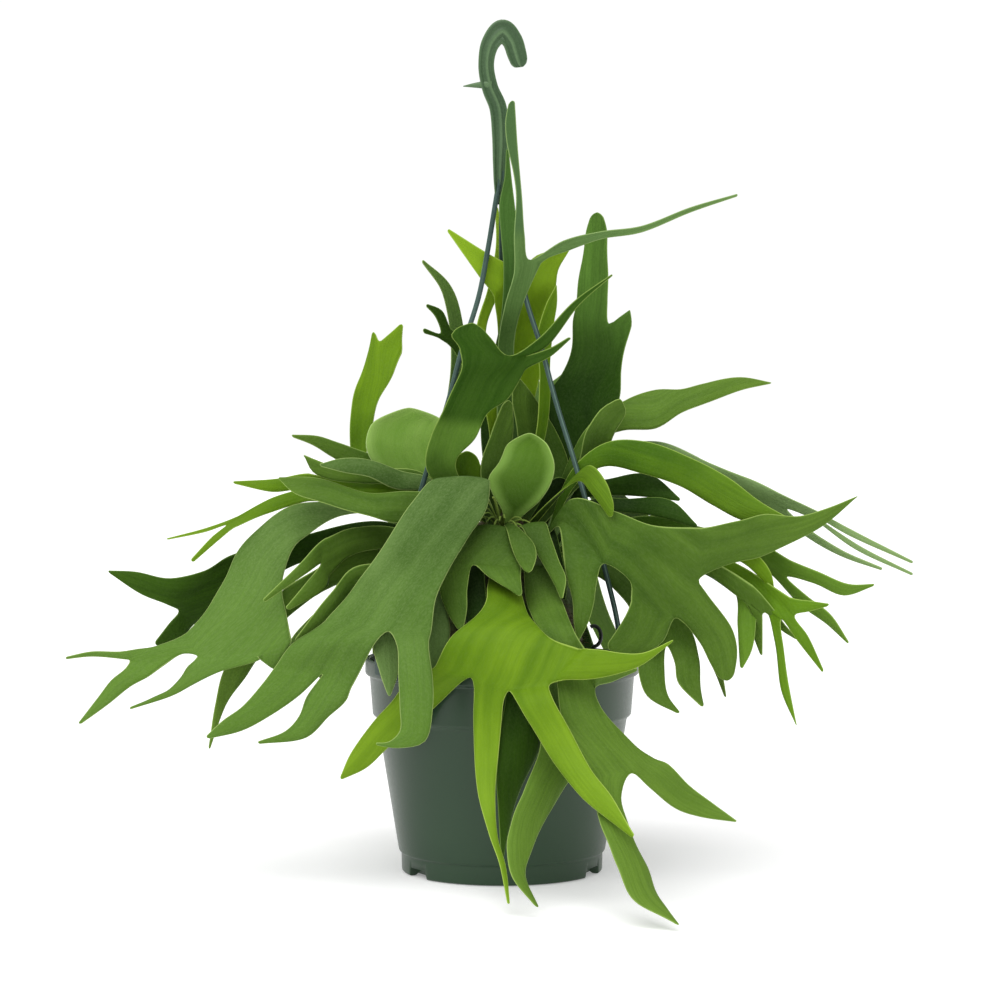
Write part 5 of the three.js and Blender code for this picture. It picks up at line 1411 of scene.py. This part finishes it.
@dataclass
class Fronds:
    """All the fronds, each one a piece that stands for its own node."""

    finishes: dict[Tone | str, bpy.types.Material] = field(default_factory=dict)

    def build(self) -> None:
        """Builds and dresses every frond, the young ones and those behind too."""
        self.finishes = {key: finish.material() for key, finish in {**LEAVES, **OWN_LEAVES}.items()}
        back = [frond(spec.name, spec.tone, (0, 0), BACK_BLADES[spec.blade]) for spec in BACK_FRONDS]
        groups = (
            (FRONDS, [Elevation.of(one) for one in FRONDS], FRONT_SEEDS),
            (YOUNG_FRONDS, [Elevation.of(one) for one in YOUNG_FRONDS], YOUNG_SEEDS),
            (back, [spec.plane() for spec in BACK_FRONDS], BACK_SEEDS),
        )
        for fronds, planes, (seed, step) in groups:
            for k, (one, plane) in enumerate(zip(fronds, planes)):
                nodes = [] if fronds is YOUNG_FRONDS else [f"frond_{one.name}"]
                self.piece(one, plane, seed + step * k, nodes)

    def piece(self, one: Frond, plane: Elevation | UprightPlane, seed: float, nodes: Sequence[str]) -> None:
        """Builds one frond as a closed blade in its tone's finish, with its own shade for that to read.

        Args:
            one: The frond.
            plane: What reads its stations.
            seed: What its ripple and its shade start from.
            nodes: The CAD nodes that it stands for.
        """
        sheet = Sheet(plane, seed)
        sheet.lay(one.blade)
        surface = sheet.thickened().marked("shade", (math.sin(seed * SHADE_PITCH) + 1) / 2)
        finish = self.finishes.get(one.name, self.finishes[one.tone])
        make_piece(f"frond_{one.name}_blade", surface, nodes, finish)


# Pot ----------------------------------------


def revolved(profile: Array, sides: int) -> Surface:
    """Carries a profile round the axis.

    The profile runs so that its material lies on its left, as it would for a wall drawn up its outside.

    Args:
        profile: Its points, each a radius and a height.
        sides: How many sides the surface has.

    Returns:
        The surface.
    """
    bearing = FULL_TURN * np.arange(sides) / sides
    points = about_axis(profile[:, 0, None], bearing, profile[:, 1, None])
    return Surface(points.reshape(-1, 3), grid_faces(len(profile), sides))


def rounded_profile(outline: Sequence[Pair], radius: float) -> Array:
    """Rounds each inner corner of a profile with a short quadratic curve.

    Args:
        outline: The corners, as radius and height.
        radius: How far before and after a corner its curve reaches, at most nearly half of a side.

    Returns:
        The rounded profile, one point a row.
    """
    knots = np.array(outline, float)
    before, corner, after = knots[:-2], knots[1:-1], knots[2:]
    back = np.linalg.norm(before - corner, axis=1, keepdims=True)
    on = np.linalg.norm(after - corner, axis=1, keepdims=True)
    enter = corner + (before - corner) / back * np.minimum(radius, back * CORNER_SHARE)
    leave = corner + (after - corner) / on * np.minimum(radius, on * CORNER_SHARE)
    t = np.linspace(0, 1, CORNER_POINTS)[None, :, None]
    curves = enter[:, None] * (1 - t) ** 2 + 2 * corner[:, None] * t * (1 - t) + leave[:, None] * t**2
    return np.vstack([knots[:1], curves.reshape(-1, 2), knots[-1:]])


@dataclass
class Pot:
    """The nursery pot: a shell with a rolled lip, a rim band, a notched foot and a drained floor."""

    height: float = 160.0
    lip_radius: float = 102.8
    lip_depth: float = 12.0
    band_top: float = 99.4
    band_low: float = 97.2
    band_foot: float = 119.0
    wall_top: float = 94.0
    wall_low: float = 77.6
    foot_height: float = 14.0
    foot_radius: float = 75.4
    wall: float = 2.0
    floor_under: float = 3.0
    floor_top: float = 5.0
    pad_radius: float = 14.0
    sides: int = 288
    notches: int = 3
    notch_width: float = 21.0
    notch_height: float = 6.5
    notch_depth: float = 6.5
    notch_fade: float = 1.5
    notch_slope: float = 0.9
    first_notch: float = 93.5
    bead_top: float = 8.4
    rounding: float = 1.5
    pad_rounding: float = 0.8
    holes: int = 8
    hole_radius: float = 5.0
    hole_ring: float = 52.0
    hole_band: Pair = (40.0, 64.0)
    hole_bevel: float = 0.3

    def build(self) -> None:
        """Builds and dresses the pot."""
        surface = Surface.joined([self.shell(), self.centre(), *self.floor_cells()]).welded()
        make_piece("pot_shell", surface, ["pot"], POT_PLASTIC.material())

    def shell(self) -> Surface:
        """Draws the wall, from the floor's outer edge under the foot, up, over the lip and down inside.

        The lowest rows rise to the notch height wherever the angle lies in a notch.

        Returns:
            The wall.
        """
        foot, lip, ring = self.foot_radius, self.lip_radius, self.hole_band[1]
        inside, lip_foot = self.wall, self.height - self.lip_depth
        outline = [
            (ring, self.floor_under), (foot - 8, self.floor_under), (foot - 5, 0.0), (foot, 0.0),
            (foot + 0.4, self.foot_height), (self.wall_low, self.foot_height + 1.2),
            (self.wall_top, self.band_foot - 4), (self.band_low, self.band_foot - 1.2),
            (self.band_low + 0.1, self.band_foot + 1.0), (self.band_top, lip_foot - 1),
            (lip - 0.4, lip_foot - 0.2), (lip, lip_foot + 2), (lip - 0.2, self.height),
            (lip - inside - 1.4, self.height), (self.band_top - inside, lip_foot),
            (self.band_low - inside, self.band_foot), (self.wall_top - inside, self.band_foot - 5),
            (foot - inside + 0.3, self.bead_top), (foot - 8, self.bead_top),
            (foot - 10, self.floor_top), (ring, self.floor_top),
        ]
        surface = revolved(rounded_profile(outline, self.rounding), self.sides)
        points = surface.points
        bearing = np.arctan2(points[:, 1], points[:, 0])
        pitch = FULL_TURN / self.notches
        from_notch = (bearing - math.radians(self.first_notch) + pitch / 2) % pitch - pitch / 2
        side = np.abs(from_notch) * foot
        from_ring = np.hypot(points[:, 0], points[:, 1]) - (foot - self.notch_depth)
        inner = np.clip(from_ring / self.notch_fade, 0, 1)
        depth = np.clip((self.notch_width / 2 - side) / self.notch_slope + 0.5, 0, 1)
        rise = depth * self.notch_height * inner
        under = np.arange(len(points)) < len(points) // 2
        low = under & (points[:, 2] < self.notch_height)
        points[low, 2] = np.maximum(points[low, 2], rise[low])
        return surface

    def centre(self) -> Surface:
        """Draws the middle of the floor, with the pad under it, closed by its top.

        Returns:
            The middle.
        """
        pad, inner = self.pad_radius, self.hole_band[0]
        outline = [(0.0, 0.0), (pad, 0.0), (pad + 2, self.floor_under), (inner, self.floor_under)]
        under = revolved(rounded_profile(outline, self.pad_rounding), self.sides)
        top = revolved(np.array([(inner, self.floor_top), (0.0, self.floor_top)]), self.sides)
        return Surface.joined([under, top])

    def floor_cells(self) -> list[Surface]:
        """Draws the floor's ring as one cell to a drain hole.

        A cell's rows go from its outline, underneath, in to the hole, up through it and out again on top.
        Its outline is a square's, walked round in even steps and laid on the ring, a side of it as long
        as the pot's own sides are, so that the cells meet one another and the rest of the pot.

        Returns:
            The cells.
        """
        inner, outer = self.hole_band
        steps = self.sides // self.holes
        side = np.linspace(-1, 1, steps + 1)[:-1]
        ones = np.ones(steps)
        x = np.concatenate([ones, -side, -ones, side, [1.0]])
        y = np.concatenate([side, ones, -side, -ones, [-1.0]])
        radius = (inner + outer) / 2 + (outer - inner) / 2 * x
        outline = about_axis(radius, np.pi / self.holes * y, 0.0)[:, :2]
        length = np.hypot(x, y)
        x, y = x / length, y / length
        hole = np.stack([self.hole_ring + self.hole_radius * x, self.hole_radius * y], axis=1)
        share = np.array([0.0, 0.5, 0.94, 1.0, 1.0, 0.94, 0.5, 0.0])[:, None, None]
        low, high, bevel = self.floor_under, self.floor_top, self.hole_bevel
        height = np.array([low, low, low, low + bevel, high - bevel, high, high, high])[:, None]
        flat = outline[None] * (1 - share) + hole[None] * share
        rows = np.concatenate([flat, np.broadcast_to(height[..., None], (*flat.shape[:2], 1))], axis=2)
        faces = grid_faces(*rows.shape[:2], closed=False)[:, ::-1]
        bearings = FULL_TURN * np.arange(self.holes) / self.holes
        return [Surface(turned(rows, bearing).reshape(-1, 3), faces) for bearing in bearings]


# Growing mix and mound ----------------------------------------


CUBE_CORNERS = np.array([[x, y, z] for z in (-1, 1) for x, y in ((-1, -1), (1, -1), (1, 1), (-1, 1))], float)
CUBE_SIDES = np.array([[3, 2, 1, 0], [4, 5, 6, 7], [0, 1, 5, 4], [1, 2, 6, 5], [2, 3, 7, 6], [3, 0, 4, 7]])
LUMP_AXES = np.array([[0.8, -0.36, 0.48], [0.6, 0.48, -0.64], [0.0, 0.8, 0.6]])
SPIKE_SIDE = np.array([0.31, 0.52, 0.8])


def lumps(points: Array, size: float, seed: float) -> Array:
    """Works out a smooth irregular value at each point, a sum of sines along turned axes.

    Args:
        points: The points.
        size: How large a lump is.
        seed: Where the sines start.

    Returns:
        The values, from about -1 to 1.
    """
    a, b, c = (points @ LUMP_AXES / size + seed).T
    first = np.sin(a + 1.7 * np.sin(b))
    return (first + np.sin(b * 1.3 + 1.9 * np.sin(c)) + np.sin(c * 1.1 + 1.5 * np.sin(a))) / 3


@dataclass
class Substrate:
    """The mix in the pot and the mound of old shield fronds and roots that the blades grow from."""

    pot: Pot
    gap: float = 0.3
    mix_top: float = 146.0
    mix_sides: int = 240
    mix_rows: int = 54
    mix_dish: float = 1.2
    mix_wave: float = 30.0
    loose_from: float = 62.0
    mound_rings: tuple[Pair, ...] = (
        (148, 58), (170, 61), (190, 57), (210, 50), (230, 40), (245, 31), (258, 20), (266, 9), (269, 0.6),
    )
    mound_rows: int = 96
    mound_sides: int = 150
    mound_relief: float = 1.8
    mound_folds: int = 5
    chip_seed: int = 11
    chip_count: int = 420
    chip_ring: Pair = (64.0, 90.0)
    chip_lift: Pair = (0.2, 2.2)
    chip_size: tuple[Pair, ...] = ((1.5, 4.6), (1.0, 2.6), (0.5, 1.2))
    chip_wear: Pair = (0.7, 1.15)
    chip_tilt: float = 0.6
    hair_seed: int = 23
    hair_count: int = 1900
    hair_rows: Pair = (151.0, 268.0)
    hair_spread: float = 0.35
    hair_sunk: float = 1.2
    hair_reach: Pair = (4.0, 10.0)
    hair_drop: float = 2.6
    hair_radius: float = 0.26
    stalk_foot: Pair = (257.0, 12.0)
    stalk_bow: Triple = (0.0, -4.0, 9.0)

    def build(self) -> None:
        """Builds and dresses the mix and the mound, with their chips, hairs and stalks."""
        bark = BARK_MIX.material()
        make_piece("growing_mix_top", self.mix(), ["growing_mix"], bark)
        make_piece("root_mound_felt", self.mound(), ["root_mound"], ROOT_FELT.material())
        make_piece("bark_chips", self.chips(), [], bark)
        make_piece("root_hairs", self.hairs(), [], ROOT_HAIR.material())
        make_piece("crown_stalks", self.stalks(), [], STALK.material())

    def chips(self) -> Surface:
        """Scatters loose bark chips on the mix: flattened blocks of eight points, each turned its own way.

        Returns:
            The chips.
        """
        random = np.random.default_rng(self.chip_seed)
        count = self.chip_count
        bearing = random.uniform(0, FULL_TURN, count)
        radius = np.sqrt(random.uniform(*np.square(self.chip_ring), count))
        centre = about_axis(radius, bearing, self.mix_top + random.uniform(*self.chip_lift, count))
        size = np.stack([random.uniform(*limits, count) for limits in self.chip_size], axis=1)
        shape = CUBE_CORNERS * size[:, None] * random.uniform(*self.chip_wear, (count, 8, 3))
        tilt = self.chip_tilt
        points = turned_each(shape, random.uniform(0, FULL_TURN, count), random.uniform(-tilt, tilt, count))
        faces = CUBE_SIDES[None] + 8 * np.arange(count)[:, None, None]
        return Surface((points + centre[:, None]).reshape(-1, 3), faces.reshape(-1, 4))

    def hairs(self) -> Surface:
        """Grows fine hairs all over the mound, each a thin three-sided spike that bends downwards.

        Returns:
            The hairs.
        """
        random = np.random.default_rng(self.hair_seed)
        rings = np.array(self.mound_rings, float)
        height = random.uniform(*self.hair_rows, self.hair_count)
        radius = np.interp(height, rings[:, 0], rings[:, 1])
        bearing = random.uniform(0, FULL_TURN, self.hair_count)
        out = about_axis(1.0, bearing, 0.2 + (height - 150) / 160)
        out = unit(out + random.normal(0, self.hair_spread, out.shape))
        foot = about_axis(radius, bearing, height) - out * self.hair_sunk
        reach = random.uniform(*self.hair_reach, self.hair_count)[:, None, None]
        t = np.linspace(0, 1, 5)[None, :, None]
        spine = foot[:, None] + out[:, None] * reach * t - UP * self.hair_drop * t**2
        return spikes(spine, self.hair_radius * (1 - 0.85 * t[..., 0]) * np.ones((self.hair_count, 1)), 3)

    def stalks(self) -> Surface:
        """Draws the stalks of young blades that fan out of the crown, thick at the foot.

        Returns:
            The stalks.
        """
        across, up, near, radius = np.array(CROWN_STALKS, float).T
        tips = elevation_points(across, up, near)
        foot = elevation_points(across * 0.2, self.stalk_foot[0] + 0 * up, self.stalk_foot[1] + 0.1 * near)
        t = np.linspace(0, 1, 12)[None, :, None]
        bow = np.array(self.stalk_bow) * 4 * t * (1 - t) * 0.6
        spine = foot[:, None] * (1 - t) + tips[:, None] * t + bow
        return spikes(spine, radius[:, None] * (1.0 - 0.45 * t[..., 0]), 7)

    def mix(self) -> Surface:
        """Draws the mix: its side follows the pot's inside, and its top is rough and a little dished.

        Returns:
            The mix.
        """
        pot, slack = self.pot, self.pot.wall + self.gap
        edge = pot.band_top - slack - 0.6
        side = [
            (0.0, pot.floor_top + self.gap),
            (pot.foot_radius - 10.8, pot.floor_top + self.gap),
            (pot.foot_radius - 8.4, pot.bead_top + self.gap),
            (pot.foot_radius - slack - 0.6, pot.bead_top + self.gap),
            (pot.wall_top - slack - 0.4, pot.band_foot - 5),
            (pot.band_low - slack - 0.4, pot.band_foot + 2),
            (edge, self.mix_top - 3),
        ]
        across = np.linspace(edge - 1.2, 0.0, self.mix_rows)
        top = np.stack([across, self.mix_top + self.mix_dish * np.sin(across / self.mix_wave)], axis=1)
        surface = revolved(np.vstack([side, top]), self.mix_sides)
        points = surface.points
        radius = np.hypot(points[:, 0], points[:, 1])
        loose = (points[:, 2] > self.mix_top - 2.5) & (radius > self.loose_from) & (radius < edge - 2)
        chips = np.abs(lumps(points, 2.6, 0.4)) * 2.2 + np.abs(lumps(points, 1.1, 2.2))
        points[loose, 2] += chips[loose] - 1.2
        return surface.welded()

    def mound(self) -> Surface:
        """Draws the mound: a dome in shallow overlapping folds, with the roughness of felt over them.

        Returns:
            The mound.
        """
        rings = np.array(self.mound_rings, float)
        places = np.linspace(0, len(rings) - 1, self.mound_rows)
        profile = smooth_curve(np.column_stack([rings, np.zeros(len(rings))]), places)
        bearing = FULL_TURN * np.arange(self.mound_sides) / self.mound_sides
        height, radius = profile[:, 0, None], np.maximum(profile[:, 1, None], 0.3)
        fold = self.mound_relief * np.sin(self.mound_folds * bearing + height / 14)
        points = about_axis(radius + fold * np.minimum(1, radius / 30), bearing, height).reshape(-1, 3)
        outward = unit(points * np.array([1.0, 1.0, 0.15]))
        rough = 0.9 * lumps(points, 3.0, 1.0) + 0.5 * lumps(points, 1.3, 4.0) - 0.5
        points = points + outward * rough[:, None] * np.clip((points[:, 2:] - 149) / 6, 0, 1)
        low, high = (np.full((self.mound_sides, 3), UP * points[end, 2]) for end in (0, -1))
        faces = grid_faces(len(profile) + 2, self.mound_sides)
        return Surface(np.vstack([low, points, high]), faces).welded()


def turned_each(shapes: Array, turn: Array, tilt: Array) -> Array:
    """Tilts each shape about its own x axis and then turns it about its z axis.

    Args:
        shapes: The shapes' points, as shape, point and axis.
        turn: How far each is turned, in radians.
        tilt: How far each is tilted.

    Returns:
        The points in their new places.
    """
    x, y, z = np.moveaxis(shapes, 2, 0)
    lean, swing = tilt[:, None], turn[:, None]
    y, z = y * np.cos(lean) - z * np.sin(lean), y * np.sin(lean) + z * np.cos(lean)
    return np.stack([x * np.cos(swing) - y * np.sin(swing), x * np.sin(swing) + y * np.cos(swing), z], axis=2)


def spikes(spine: Array, radius: Array, sides: int) -> Surface:
    """Carries a round section along many spines at once and closes both ends to points.

    Args:
        spine: The points followed, as spike, step and axis.
        radius: The section's radius at each of them.
        sides: Sides of the section.

    Returns:
        All the spikes as one surface.
    """
    along = unit(np.gradient(spine, axis=1))
    aside = unit(np.cross(along, SPIKE_SIDE))
    out = np.cross(along, aside)
    angle = FULL_TURN * np.arange(sides) / sides
    section = aside[:, :, None] * np.cos(angle)[:, None] + out[:, :, None] * np.sin(angle)[:, None]
    rings = spine[:, :, None] + section * radius[:, :, None, None]
    first, last = (np.broadcast_to(spine[:, None, None, end], rings[:, :1].shape) for end in (0, -1))
    rows = np.concatenate([first, rings, last], axis=1)
    count, steps = rows.shape[:2]
    faces = grid_faces(steps, sides)[None] + (steps * sides) * np.arange(count)[:, None, None]
    return Surface(rows.reshape(-1, 3), faces.reshape(-1, 4)).welded()


# Hanger ----------------------------------------


def swept(spine: Array, sections: Array, facing: Array) -> Surface:
    """Carries a closed section along a spine and closes both ends with fans of quads drawn to a point.

    Args:
        spine: The points followed.
        sections: For each of them, the section's points as offsets to the side and outwards.
        facing: The direction that the section's second offset follows.

    Returns:
        The closed bar.
    """
    along = unit(np.gradient(spine, axis=0))
    side = unit(np.cross(along, facing))
    out = np.cross(along, side)
    rings = spine[:, None] + side[:, None] * sections[..., :1] + out[:, None] * sections[..., 1:]
    first, last = (np.broadcast_to(end, rings[:1].shape) for end in (spine[0], spine[-1]))
    rows = np.concatenate([first, rings, last])
    return Surface(rows.reshape(-1, 3), grid_faces(*rows.shape[:2]))


def round_angles(points: int) -> Array:
    """Returns so many even angles round a section, none of them on an axis."""
    return FULL_TURN * (np.arange(points) + 0.5) / points


def grooved_oval(width: Array, thickness: float, groove: float, points: int = 28) -> Array:
    """Draws flat oval sections, pinched by a groove along both broad faces.

    Args:
        width: Each section's width.
        thickness: Their thickness.
        groove: What share of it the groove takes.
        points: Points in a section.

    Returns:
        The sections.
    """
    angle = round_angles(points)
    wide, deep = signed_power(np.cos(angle), 0.75), signed_power(np.sin(angle), 0.75)
    pinch = 1 - groove * np.exp(-((wide / 0.3) ** 2))
    across = width[:, None] / 2 * wide
    return np.stack([across, np.broadcast_to(thickness / 2 * deep * pinch, across.shape)], axis=-1)


def ribbed_oval(width: Array, thickness: Array, points: int = 64) -> tuple[Array, Array]:
    """Draws flat sections with raised rims and a rib along each broad face, hollow between them.

    Args:
        width: Each section's width.
        thickness: Each section's thickness, rim to rim.
        points: Points in a section.

    Returns:
        The sections, and how near to a rib's or a rim's crest each of their points lies, from 0 to 1.
    """
    angle = round_angles(points)
    wide, deep = signed_power(np.cos(angle), 0.6), signed_power(np.sin(angle), 0.35)
    rib = np.exp(-(((wide + 0.12) / 0.05) ** 2))
    rim = np.clip((np.abs(wide) - 0.86) / 0.1, 0, 1)
    hollow = np.exp(-(((np.abs(wide + 0.04) - 0.42) / 0.26) ** 4))
    depth = thickness[:, None] / 2 * deep * (0.9 - 0.34 * hollow + 0.1 * rib)
    return np.stack([width[:, None] / 2 * wide, depth], axis=-1), np.maximum(rib, 0.45 * rim)


def block(low: Sequence[float], high: Sequence[float], turn: float) -> Surface:
    """Draws a block with softened edges, turned about the axis.

    It is a ball's grid of points pulled to a superellipsoid and stretched to the block's corners.

    Args:
        low: Its lowest corner, before the turn.
        high: Its highest corner.
        turn: How far it is turned, in radians.

    Returns:
        The block, with no wear or painted highlight on it.
    """
    u, v = np.linspace(0, FULL_TURN, 33)[:-1], np.linspace(-np.pi / 2, np.pi / 2, 15)
    x, y, z, level = (signed_power(part, 0.18) for part in (np.cos(u), np.sin(u), np.sin(v), np.cos(v)))
    ball = np.stack(np.broadcast_arrays(level[:, None] * x, level[:, None] * y, z[:, None]), axis=-1)
    centre, half = (np.array(high) + np.array(low)) / 2, (np.array(high) - np.array(low)) / 2
    points = turned(ball.reshape(-1, 3) * half + centre, turn)
    return Surface(points, grid_faces(len(v), len(u))).marked("wear_and_highlight", 0.0)


@dataclass
class Hanger:
    """The ribbed hook with its spur, the strands that clip over the pot's lip, and the small loop behind."""

    pot: Pot
    strands: tuple[tuple[str, float], ...] = (
        ("strand_right", 330.0), ("strand_left", 210.0), ("strand_back", 90.0),
    )
    strand_width: float = 4.6
    strand_thickness: float = 3.2
    strand_groove: float = 0.45
    strand_steps: int = 150
    strand_curve: tuple[Pair, ...] = (
        (99.6, 166), (98, 188), (88, 226), (63, 304), (46, 352), (34, 391), (20, 430), (12, 466), (6, 498),
        (3.4, 512), (1.6, 524),
    )
    clip_gap: float = 0.3
    clip_width: float = 9.0
    clip_depth: float = 2.4
    plate_rows: Pair = (151.0, 164.0)
    bridge_depth: float = 9.0
    bridge_height: float = 4.0
    tongue_depths: Pair = (6.4, 2.4)
    tongue_height: float = 8.0
    hook_steps: int = 170
    hook_curve: tuple[tuple[float, float, float, float], ...] = (
        (-2.8, 499, 2.4, 2.4), (-2.4, 507, 6.2, 6.6), (-2, 518, 8.8, 9.2), (-1.5, 533, 11, 10.8),
        (-1.2, 550, 12.6, 10.4), (-3, 571, 13, 8.6), (-9, 586, 12.2, 8), (-11.8, 603, 11.8, 8),
        (-8.5, 619, 13.7, 8), (0.5, 628, 16.7, 8), (7.5, 621, 15.4, 8), (11, 611, 14.6, 8),
        (12.7, 605.4, 13, 7.6), (13.6, 602.8, 10, 6.6), (14, 601.6, 6, 4.6), (14.1, 601.1, 2, 2),
    )
    hook_least: float = 0.5
    spur_up: float = 588.0
    spur_base: float = -7.5
    spur_tip: float = -29.0
    spur_drop: float = 1.1
    spur_radius: float = 3.4
    spur_steps: int = 14
    spur_wear: float = 0.35
    loop_centre: Triple = (71.6, 74.0, 169.0)
    loop_size: Pair = (5.6, 8.0)
    loop_open: Pair = (-105.0, 118.0)
    loop_steps: int = 40
    loop_wire: float = 1.5

    def build(self) -> None:
        """Builds and dresses the hook, the strands and the loop."""
        hook_finish, strand_finish = HOOK_PLASTIC.material(), STRAND_PLASTIC.material()
        make_piece("hook_moulding", self.hook(), ["hook"], hook_finish)
        for name, azimuth in self.strands:
            strand = self.strand(math.radians(azimuth))
            make_piece(f"{name}_moulding", strand, [name], strand_finish)
        make_piece("lip_loop", self.loop(), [], LOOP_PLASTIC.material())

    def loop(self) -> Surface:
        """Draws the small dark wire loop, open to the left, that stands on the far side of the lip.

        Returns:
            The loop.
        """
        angle = np.radians(np.linspace(*self.loop_open, self.loop_steps))
        wide, tall = self.loop_size
        offsets = np.stack([wide * np.cos(angle), 0 * angle, tall * np.sin(angle)], axis=1)
        sections = grooved_oval(np.full(len(angle), 2 * self.loop_wire), 2 * self.loop_wire, 0.0, 12)
        wire = swept(np.array(self.loop_centre) + offsets, sections, BACKWARDS)
        return wire.marked("wear_and_highlight", 0.0).welded()

    def hook(self) -> Surface:
        """Draws the hook's shank and arm, with a raised rib along their faces, and the spur at their side.

        Returns:
            The hook.
        """
        stations = np.array(self.hook_curve, float)
        places = np.linspace(0, len(stations) - 1, self.hook_steps)
        spine = smooth_curve(stations[:, [0, 2, 1]], places) * np.array([1.0, 0.0, 1.0])
        sizes = np.maximum(smooth_curve(stations[:, [2, 3, 3]], places), self.hook_least)
        sections, crest_highlight = ribbed_oval(sizes[:, 0], sizes[:, 1])
        # Painted highlight: the pale colour along the rib and the rims.
        arm = swept(spine, sections, BACKWARDS).marked("wear_and_highlight", np.tile(crest_highlight, len(spine) + 2))
        reach = np.linspace(0, 1, self.spur_steps)
        across = self.spur_base + (self.spur_tip - self.spur_base) * reach
        spur_spine = np.stack([across, 0 * reach, self.spur_up - self.spur_drop * reach**2], axis=1)
        radius = self.spur_radius * (1 - 0.9 * reach**1.3)
        spur_sections = grooved_oval(2 * radius, 2.0, 0.0, 16)
        spur_sections[..., 1] *= radius[:, None]
        spur = swept(spur_spine, spur_sections, BACKWARDS).marked("wear_and_highlight", self.spur_wear)
        return Surface.joined([arm, spur]).welded()

    def strand(self, turn: float) -> Surface:
        """Draws one strand with its clip: a plate outside the lip, a bridge over it and a tongue inside.

        Args:
            turn: Where the strand stands about the axis, in radians.

        Returns:
            The strand.
        """
        outwards = np.array([math.cos(turn), math.sin(turn), 0.0])
        curve = np.array(self.strand_curve, float)
        knots = curve[:, :1] * outwards + curve[:, 1:] * UP
        spine = smooth_curve(knots, np.linspace(0, len(knots) - 1, self.strand_steps))
        widths = np.full(len(spine), self.strand_width)
        sections = grooved_oval(widths, self.strand_thickness, self.strand_groove)
        # Painted highlight: the pale colour in a band along one side of the strand.
        crest_highlight = np.exp(-(((np.cos(round_angles(sections.shape[1])) + 0.55) / 0.2) ** 2))
        bar = swept(spine, sections, outwards).marked("wear_and_highlight", np.tile(crest_highlight, len(spine) + 2))
        lip, top = self.pot.lip_radius + self.clip_gap, self.pot.height + self.clip_gap
        outer, half = lip + self.clip_depth, self.clip_width / 2
        low, high = self.plate_rows
        deep, shallow = self.tongue_depths
        boxes = (
            ((lip, -half, low), (outer, half, high)),
            ((outer - self.bridge_depth, -half, top), (outer, half, top + self.bridge_height)),
            ((lip - deep, 1 - half, top), (lip - shallow, half - 1, top + self.tongue_height)),
        )
        return Surface.joined([bar, *(block(*box, turn) for box in boxes)]).welded()


# Studio ----------------------------------------


@dataclass
class Studio:
    """The camera, the white floor and the soft lights."""

    clipping: Pair = (0.05, 100.0)
    floor_width: float = 30.0
    floor_drop: float = 0.0005
    floor_grey: float = 0.8
    floor_roughness: float = 0.9
    floor_glow: float = 0.27
    backdrop: float = 1.03
    room_light: float = 0.62
    key_light: float = 2.5
    key_softness: float = 62.0
    key_from: Triple = (-0.5, -0.9, 1.7)

    def set_camera(self) -> None:
        """Places the camera at the eye, looking along +Y and a little down."""
        data = bpy.data.cameras.new("eye")
        data.sensor_width, data.lens = SENSOR_MM, LENS_MM
        data.clip_start, data.clip_end = self.clipping
        camera = bpy.data.objects.new("eye", data)
        camera.location = (EYE_ACROSS * MM, -VIEW_DISTANCE * MM, EYE_HEIGHT * MM)
        camera.rotation_euler = (math.radians(90 - LOOK_DOWN_DEG), 0.0, 0.0)
        bpy.context.scene.collection.objects.link(camera)
        bpy.context.scene.camera = camera

    def light_key(self) -> None:
        """Adds the broad soft key light, from the upper left and in front."""
        data = bpy.data.lights.new("key", "SUN")
        data.energy, data.angle = self.key_light, math.radians(self.key_softness)
        lamp = bpy.data.objects.new("key", data)
        across, along, up = self.key_from
        lamp.rotation_euler = (math.atan2(math.hypot(across, along), up), 0.0, math.atan2(across, -along))
        lamp.location = self.key_from
        bpy.context.scene.collection.objects.link(lamp)

    def floor(self) -> None:
        """Lays a white floor that takes the contact shadow."""
        half = self.floor_width / 2
        outline = [(-half, -half, 0), (half, -half, 0), (half, half, 0), (-half, half, 0)]
        mesh = bpy.data.meshes.new("floor")
        mesh.from_pydata(outline, [], [(0, 1, 2, 3)])
        material = Shader("white_floor").finish(
            Base_Color=(self.floor_grey, self.floor_grey, self.floor_grey, 1.0),
            Roughness=self.floor_roughness,
            Specular_IOR_Level=0.0,
            Emission_Color=WHITE,
            Emission_Strength=self.floor_glow,
        )
        floor = bpy.data.objects.new("floor", mesh)
        floor.location.z = -self.floor_drop
        floor.data.materials.append(material)
        bpy.context.scene.collection.objects.link(floor)

    def build(self) -> None:
        """Sets the world, the light, the floor and how the picture is developed.

        The room is seen white all round, and lights the plant less than it shows, so that the key shapes it.
        """
        world = bpy.data.worlds.new("white_room")
        world.use_nodes = True
        background = world.node_tree.nodes["Background"]
        background.inputs["Color"].default_value = WHITE
        rays = world.node_tree.nodes.new("ShaderNodeLightPath")
        level = world.node_tree.nodes.new("ShaderNodeMapRange")
        level.inputs["To Min"].default_value = self.room_light
        level.inputs["To Max"].default_value = self.backdrop
        world.node_tree.links.new(rays.outputs["Is Camera Ray"], level.inputs["Value"])
        world.node_tree.links.new(level.outputs["Result"], background.inputs["Strength"])
        scene = bpy.context.scene
        scene.world = world
        self.light_key()
        self.floor()
        scene.view_settings.view_transform = "Standard"
        scene.view_settings.look = "None"
        scene.view_settings.exposure = 0.0


def main() -> None:
    """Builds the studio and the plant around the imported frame."""
    logging.basicConfig(level=logging.INFO, format="%(name)s: %(message)s")
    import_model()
    studio = Studio()
    studio.set_camera()
    pot = Pot()
    pot.build()
    Substrate(pot).build()
    Hanger(pot).build()
    Fronds().build()
    studio.build()


if __name__ == "__main__":
    main()
